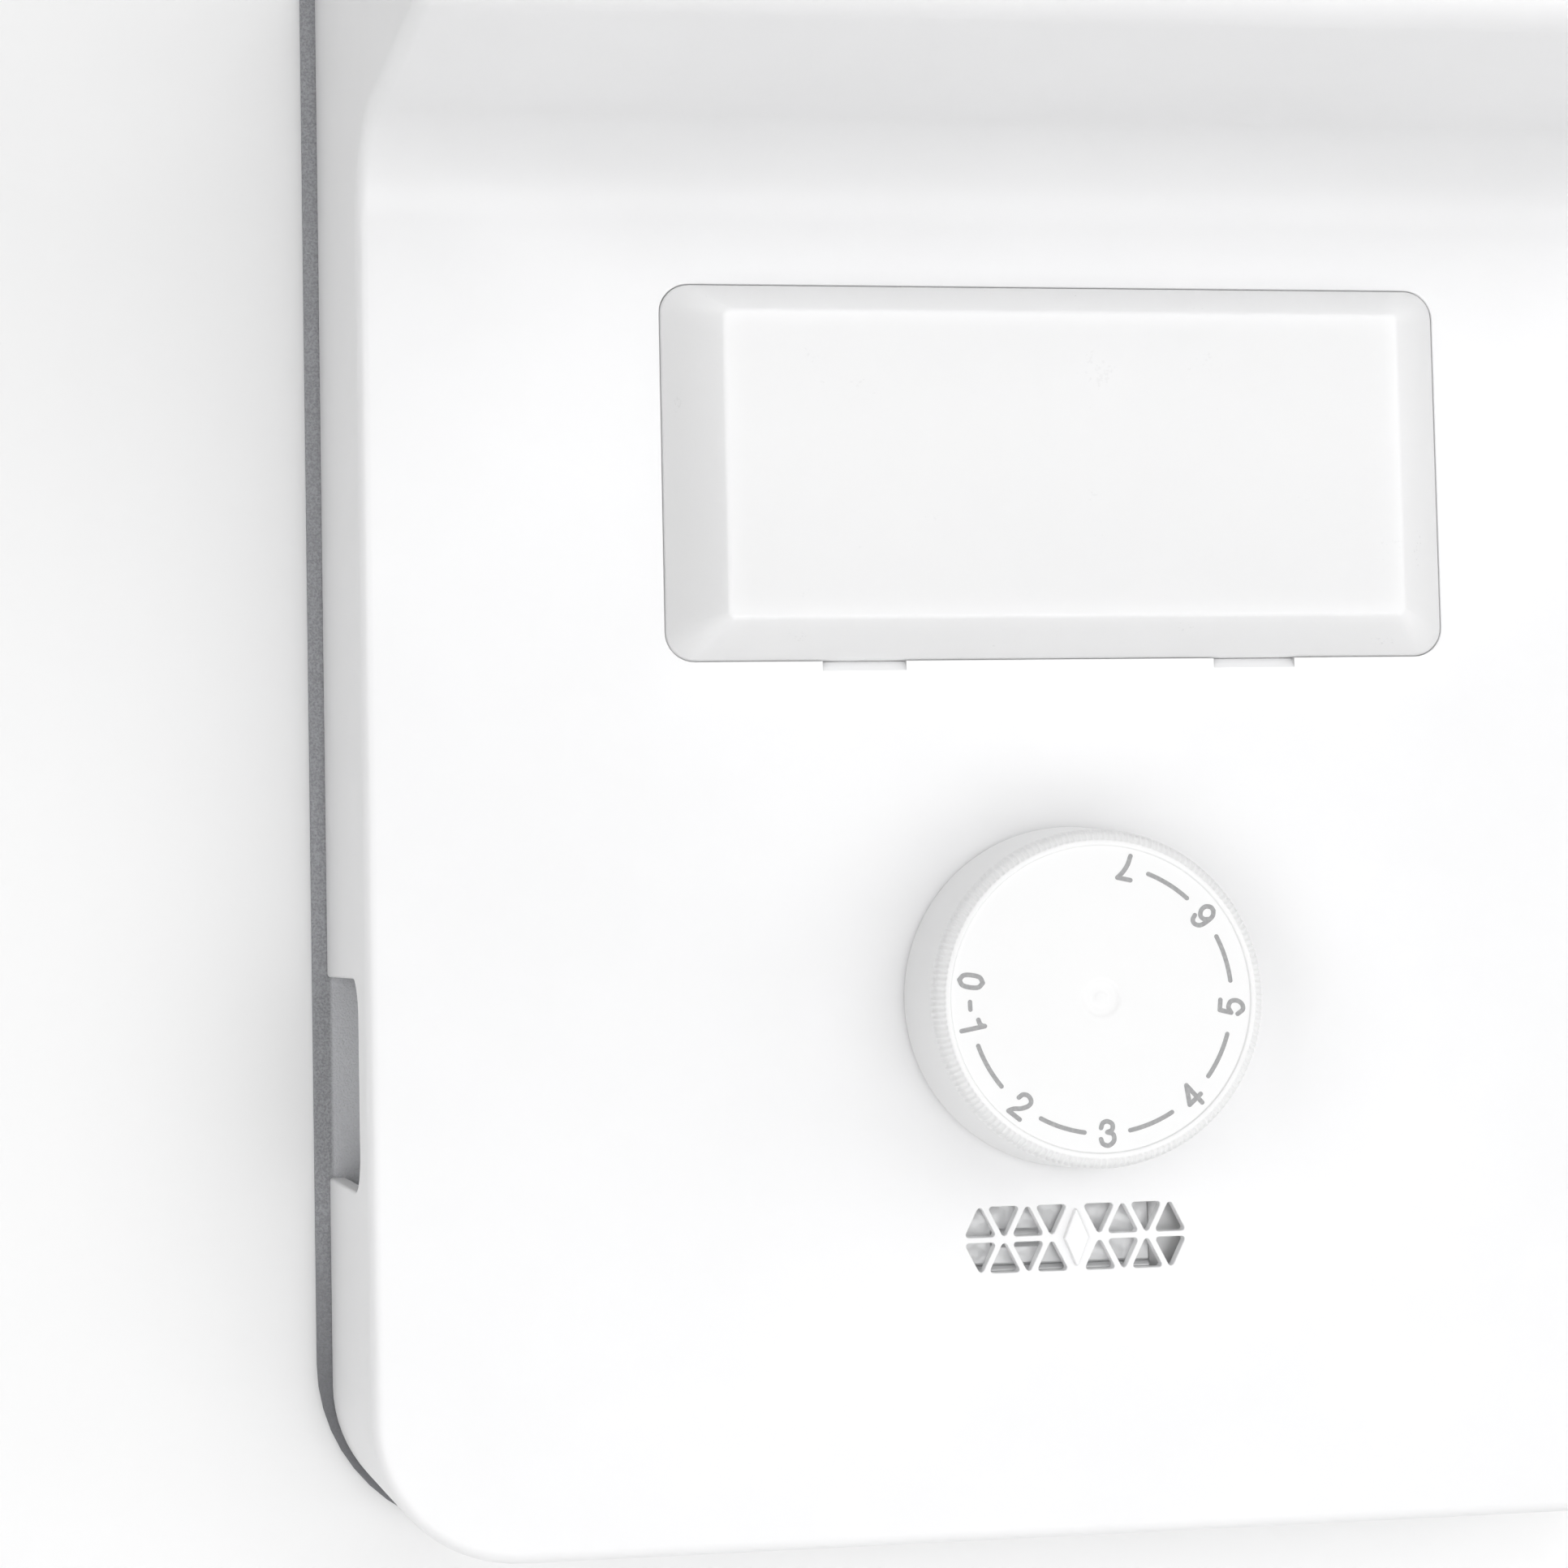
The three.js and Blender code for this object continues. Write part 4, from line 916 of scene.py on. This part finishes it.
STROKE = 0.34
CURVES = {
    "0": [[(0, 1.76), (-0.72, 1.2), (-0.9, 0), (-0.72, -1.2), (0, -1.76)],
          [(0, 1.76), (0.72, 1.2), (0.9, 0), (0.72, -1.2), (0, -1.76)]],
    "1": [[(0.3, -1.76), (0.3, 1.76)], [(-0.78, 1.02), (-0.2, 1.12), (0.18, 1.45), (0.3, 1.76)]],
    "2": [[(-1.0, 0.72), (-0.75, 1.45), (0, 1.76), (0.8, 1.4), (0.9, 0.65), (0.3, -0.3), (-0.6, -1.05),
           (-1.05, -1.74)], [(-1.05, -1.74), (1.05, -1.74)]],
    "3": [[(-0.92, 0.85), (-0.62, 1.55), (0.1, 1.76), (0.8, 1.3), (0.72, 0.5), (0.0, 0.18)],
          [(0.0, 0.18), (0.85, -0.15), (0.95, -1.1), (0.15, -1.76), (-0.7, -1.5), (-1.0, -0.8)]],
    "4": [[(0.45, -1.76), (0.45, 1.7)], [(0.45, 1.7), (-1.15, -0.7)], [(-1.15, -0.7), (1.15, -0.7)]],
    "5": [[(0.9, 1.74), (-0.6, 1.74)], [(-0.6, 1.74), (-0.88, 0.0)],
          [(-0.88, 0.0), (-0.1, 0.45), (0.75, 0.15), (0.95, -0.75), (0.5, -1.55), (-0.3, -1.74),
           (-1.0, -1.0)]],
    "6": [[(0.92, 0.95), (0.6, 1.6), (-0.05, 1.76), (-0.75, 1.2), (-0.95, 0.0), (-0.85, -1.1), (-0.3, -1.7)],
          [(-0.3, -1.7), (0.35, -1.7), (0.92, -1.1), (0.88, -0.25), (0.3, 0.32), (-0.4, 0.2),
           (-0.92, -0.45)]],
    "7": [[(-1.0, 1.74), (1.0, 1.74)], [(1.0, 1.74), (0.35, 0.8), (-0.15, -0.4), (-0.35, -1.76)]],
}


def stroke(surface, path, half, lift):
    """A flat ribbon in X and Z with round ends, lifted a little so that no two faces coincide."""
    p = np.asarray(path, float)
    run = np.gradient(p, axis=0)
    run /= np.linalg.norm(run, axis=1, keepdims=True)
    a = np.radians(np.linspace(0, 90, 6))[:-1, None]
    p = np.concatenate([p[:1] - run[:1] * half * np.cos(a), p, p[-1:] + run[-1:] * half * np.cos(a[::-1])])
    run = np.concatenate([np.repeat(run[:1], 5, 0), run, np.repeat(run[-1:], 5, 0)])
    width = np.concatenate([np.sin(a), np.ones((len(p) - 10, 1)), np.sin(a[::-1])]) * half
    out = np.stack([-run[:, 1], run[:, 0]], 1)
    left, right = p + out * width, p - out * width
    front, back = INK_FRONT - lift, INK_BACK + lift
    for y, facing in ((front, (0, -1, 0)), (back, (0, 1, 0))):
        surface.grid(np.stack([at_depth(left, y), at_depth(right, y)], 1), facing)
    for side, sign in ((left, 1), (right, -1)):
        facing = at_depth(out * sign, 0)[:, None]
        surface.grid(np.stack([at_depth(side, front), at_depth(side, back)], 1), facing)


def numbers_on_dial(surface):
    """Every number, drawn upright and then turned so that its top points to the knob's axis."""
    for text, angle in NUMBERS.items():
        a = math.radians(angle)
        down, across = np.array([math.cos(a), math.sin(a)]), np.array([-math.sin(a), math.cos(a)])
        for i, line in enumerate(CURVES[text]):
            line = smooth_path(line, 6) if len(line) > 2 else np.linspace(*np.array(line, float), 5)
            stroke(surface, DIAL_R * down + line[:, :1] * across - line[:, 1:] * down, STROKE, 0.012 * i)


numbers = Surface()
numbers_on_dial(numbers)
dress(numbers.build("dial_numbers"), "control", dial_ink, "cover_plastic")

# %% [markdown]
# ## Behind the cover
# A foam gasket seals the cover to the wall, and a plate of bead foam closes it behind, with two air
# inlets and an opening for the plug. Both are plates with holes and eased edges.

# %% Gasket and back panel
RING_T, RING_PROUD, RING_CORNER_R, WALL_LAP, PANEL_T = 2.0, 2.2, 28, 0.7, 9.0
INLETS = [rectangle(x0, x0 + 38, -26, 3, 1.0, 4) for x0 in (-96, 58)]
PLUG_HOLE = rectangle(70.5, 93.5, 121.5, 136.5, 0.8, 4)


def tray_outline(half, low, high, low_r, high_r=1.2, steps=12):
    """Outline with large lower corners and small upper ones, as a function of growth."""
    def outline(grow=0):
        corners = [(half - low_r, low + low_r, low_r, -90), (half - high_r, high - high_r, high_r, 0),
                   (-half + high_r, high - high_r, high_r, 90), (-half + low_r, low + low_r, low_r, 180)]
        return np.concatenate([arc((x, z), r + grow, a, a + 90, steps) for x, z, r, a in corners])
    return outline


rear_half = FACE_HALF - SIDE_DRAFT * FACE_Y + RING_PROUD
rear_low = BOTTOM_Z + LOW_DRAFT * FACE_Y - RING_PROUD
ring_outline = tray_outline(rear_half, rear_low, TOP_Z, RING_CORNER_R)
build_wall(ring_outline(-WALL_LAP))
gasket, back = Surface(), Surface()
window = tray_outline(106.5, BOTTOM_Z + 7, TOP_Z - 9, CORNER_R - 4)
plate(gasket, ring_outline, [window], -RING_T, 0, 0.5, 0.3)
dress(gasket.build("gasket_ring"), "root", grey_foam, "grey_foam", "rear_gasket")
holes = INLETS + [PLUG_HOLE] + [circle(x, 81, 2.2, 20) for x in (-48, 48)]
plate(back, tray_outline(106, BOTTOM_Z + 7.5, TOP_Z - 9.5, CORNER_R - 4.5), holes, -PANEL_T, 0, 1.2, 0.6)
dress(back.build("insulating_panel"), "root", white_foam, "white_foam", "back_panel")

# %% [markdown]
# Behind the grille sits a thin bright shield, creased from handling, with a rolled lower lip. The
# creases are the distance to the nearest of some scattered points, which meets itself in sharp folds.

# %% Shield behind the grille
SHIELD_X, SHIELD_Z = (-18.2, 18.2), (-42.2, -26.0)


def creases(x, z, spacing, seed):
    """Distance from each place to the nearest of a shaken grid of points, in units of its spacing."""
    rng = np.random.default_rng(seed)
    u, v = np.meshgrid(np.arange(-24, 24, spacing), np.arange(-48, -20, spacing))
    spots = np.stack([u, v], -1).reshape(-1, 2)
    spots = spots + rng.uniform(-0.45, 0.45, spots.shape) * spacing
    gap = np.hypot(x[..., None] - spots[:, 0], z[..., None] - spots[:, 1])
    return gap.min(-1) / spacing


def shield_front(x, z):
    """Depth of the shield: creased, stepped back at its right end, grooved, with a lip below."""
    relief = 0.30 * creases(x, z, 5.5, 3) + 0.16 * creases(x, z, 2.1, 8)
    lip = np.interp(z, [-42.2, -41.75, -41.4, -41.1, -40.8], [-0.2, -0.5, -0.2, 0.9, 0.0])
    ledge = (np.interp(z, [-38.2, -37.9, -35.8, -35.6], [0, 1, 1, 0])
             * np.interp(x, [-12.6, -12.4, -5, -4.8], [0, 1, 1, 0]))
    step = np.interp(x, [12.25, 12.45], [0, 1])
    flat = np.clip((z + 41.0) / 1.5, 0, 1) * (1 - step)
    return -41.95 + relief * flat + lip * (1 - step) + 1.1 * ledge + 1.5 * step


u, v = np.meshgrid(np.linspace(*SHIELD_X, 183), np.linspace(*SHIELD_Z, 91))
front = shield_front(u, v)
shield = Surface()
layers = [np.stack([u, front + thick, v], -1) for thick in (0, 0.08)]
for rows in layers:
    shield.grid(rows)
for cut in (np.s_[0], np.s_[-1], np.s_[:, 0], np.s_[:, -1]):
    shield.grid(np.stack([layer[cut] for layer in layers]))
dress(shield.build("grille_shield"), "root", foil, "foil", "sensor_shield")

# %% [markdown]
# ## The lamp
# Opening the lamp cover shows a cream tray with its screws, the lamp holder and a small screw-base bulb.
# The base's thread is a helix: the radius rises and falls along the axis, shifted round with the angle.

# %% Bulb
LAMP_Y, LAMP_Z, THREAD_PITCH = -28.0, 81.0, 2.8
on_lamp_axis = about_x(LAMP_Y, LAMP_Z)


def bulb_skin(inset):
    """Radius and place of the glass: a round end drawn out into a neck."""
    a = np.linspace(0, np.pi, 41)
    r = np.where(a > np.pi / 2, 6.5 + 4.8 * np.sin(a), 11.3 * np.sin(a))
    x = 10.5 - (22 - inset * (a < np.pi / 2)) * np.cos(a)
    return np.stack([np.maximum(r - inset, 0) * (a > 0), x], 1)


def thread(a, along):
    """A helical wave, fading out at both ends of the threaded length."""
    share = np.clip((along - 36) / 16, 0, 1)
    return 0.38 * np.sin(2 * np.pi * along / THREAD_PITCH - a) * np.clip(8 * share * (1 - share), 0, 1)


glass = Surface()
outer_glass, inner_glass = bulb_skin(0), bulb_skin(0.6)
turned(glass, [outer_glass, [outer_glass[-1], inner_glass[-1]], inner_glass[::-1]], on_lamp_axis, 72)
dress(glass.build("bulb_envelope"), "root", bulb_glass, "bulb_glass", "bulb_glass")

cap = Surface()
along = np.linspace(33, 55.5, 140)
shell_run = eased([(6.2, 33), (6.5, 33.4), (6.5, 36), (6.5, 52), (6.2, 53.5), (3.8, 55.5)], 0.6, 3)
shell_run = np.stack([np.interp(along, shell_run[:, 1], shell_run[:, 0]), along], 1)
turned(cap, [[(0, 33), (6.2, 33)], shell_run, [(3.8, 55.5), (2.6, 55.6)],
             eased([(2.6, 55.6), (2.4, 56.6), (0, 57)], 0.8)], on_lamp_axis, 72, thread)
dress(cap.build("bulb_base"), "root", brass, "brass", "bulb_cap")


def wire(surface, path, radius, sides=10):
    """A tube along a path. Its section stands square to the path, set out from one fixed direction."""
    p = np.asarray(path, float)
    forward = np.gradient(p, axis=0)
    forward /= np.linalg.norm(forward, axis=1, keepdims=True)
    across = np.cross(forward, np.roll(forward[:1], 1, axis=1) + (0.1, 0.3, 0.05))
    across /= np.linalg.norm(across, axis=1, keepdims=True)
    up = np.cross(forward, across)
    a = np.linspace(0, 2 * np.pi, sides + 1)[:-1, None]
    ring = p[:, None] + radius * (np.cos(a) * across[:, None] + np.sin(a) * up[:, None])
    surface.grid(ring, wrap=True)
    for end, sign in ((0, -1), (-1, 1)):
        fan = np.stack([ring[end], np.broadcast_to(p[end], ring[end].shape)])
        surface.grid(fan, np.broadcast_to(forward[end] * sign, (2, sides + 1, 3)), wrap=True)


filament = Surface()
turns = np.linspace(0, 14 * 2 * np.pi, 14 * 12 + 1)
bow = np.linspace(-1, 1, len(turns))
coil = np.stack([6 - 3.0 * (1 - bow ** 2) + 0.35 * np.cos(turns), LAMP_Y + 5.2 * bow,
                 LAMP_Z + 0.35 * np.sin(turns)], 1)
wire(filament, coil, 0.07, 5)
SUPPORT = ((30, 1.2), (22, 2), (12, 4.6), (6, 5.2))
for sign in (-1, 1):
    wire(filament, smooth_path([(x, LAMP_Y + sign * off, LAMP_Z) for x, off in SUPPORT], 6), 0.22)
dress(filament.build("bulb_filament"), "root", filament_metal, "spring_steel")
stem = Surface()
turned(stem, [eased([(0, 18.8), (1.5, 19.4), (2.2, 24), (4.6, 31), (5.2, 32.4)], 1.5),
              [(5.2, 32.4), (0, 32.4)]], on_lamp_axis, 32)
dress(stem.build("bulb_stem"), "root", bulb_glass, "bulb_glass")

# %% [markdown]
# ## Parts that only need their edges eased
# The inner parts have the right shape already, but real edges are never sharp. Each one is copied, its
# loose triangles are merged into faces, and every edge sharper than 35 degrees gets a small round.

# %% Softened parts
def softened(node, body, slot, material, width):
    """Stands a copy of an engineering part, with eased edges, in its place."""
    work = bmesh.new()
    work.from_mesh(frame["nodes"][node].data)
    bmesh.ops.remove_doubles(work, verts=work.verts, dist=2e-6)
    bmesh.ops.dissolve_limit(work, angle_limit=math.radians(1), verts=work.verts, edges=work.edges)
    sharp = [e for e in work.edges if e.is_manifold and e.calc_face_angle(0) > math.radians(35)]
    bmesh.ops.bevel(work, geom=sharp, offset=width * MM, segments=2, profile=0.5,
                    affect="EDGES", clamp_overlap=True)
    bmesh.ops.triangulate(work, faces=[f for f in work.faces if len(f.verts) > 4])
    mesh = bpy.data.meshes.new(node + "_piece")
    work.to_mesh(mesh)
    work.free()
    mesh.polygons.foreach_set("use_smooth", np.ones(len(mesh.polygons), bool))
    mesh.set_sharp_from_angle(angle=math.radians(38))
    thing = bpy.data.objects.new(node + "_piece", mesh)
    bpy.context.scene.collection.objects.link(thing)
    return dress(thing, body, material, slot, node)


EASED = {
    "white_foam": (white_foam, {"air_duct_left": 1.0, "air_duct_right": 1.0}),
    "tray_plastic": (tray_plastic, {"lamp_tray": 0.5, "lamp_holder": 0.4, "harness_plug": 0.5,
                                    "capillary_clip_left": 0.3, "capillary_clip_right": 0.3}),
    "black_plastic": (black_plastic, {"switch_housing": 0.5}),
    "zinc_steel": (steel, {"thermostat_frame": 0.25, "range_lever": 0.2, "main_lever": 0.2,
                           "earth_tab": 0.15, "thermostat_screw_left": 0.15, "thermostat_screw_right": 0.15,
                           "fixing_screw_left": 0.2, "fixing_screw_right": 0.2, "thermostat_shaft": 0.2}),
    "spring_steel": (spring_steel, {"knob_spring_clip": 0.15}),
    "brass": (brass, {"range_cam": 0.2, "range_screw": 0.15, "contact_blade": 0.12,
                      "terminal_supply": 0.15, "terminal_load": 0.15, "bellows_capsule": 0.3}),
}
body_of = {node: body for body, nodes in frame["record"]["behaviour"]["bodies"].items() for node in nodes}
for slot, (material, parts) in EASED.items():
    for node, width in parts.items():
        softened(node, body_of[node], slot, material, width)
kept = {"range_spring": spring_steel, "capillary_tube": copper, **lead_plastics}
for node, material in kept.items():
    frame["nodes"][node].data.materials[0] = material
print("eased:", sum(len(parts) for _, parts in EASED.values()), "kept:", len(kept))

# %% [markdown]
# ## Size and finish
# Both boxes, the engineering model's and the visual model's, are printed. The visual model must
# stay inside the engineering model's box.

# %% Boxes and the end
plain = lambda corners: [[float(c) for c in v] for v in corners]
{"cad_box": plain(cad_box), "visual_box": plain(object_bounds())}
print("boxes:", plain(cad_box), plain(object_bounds()))
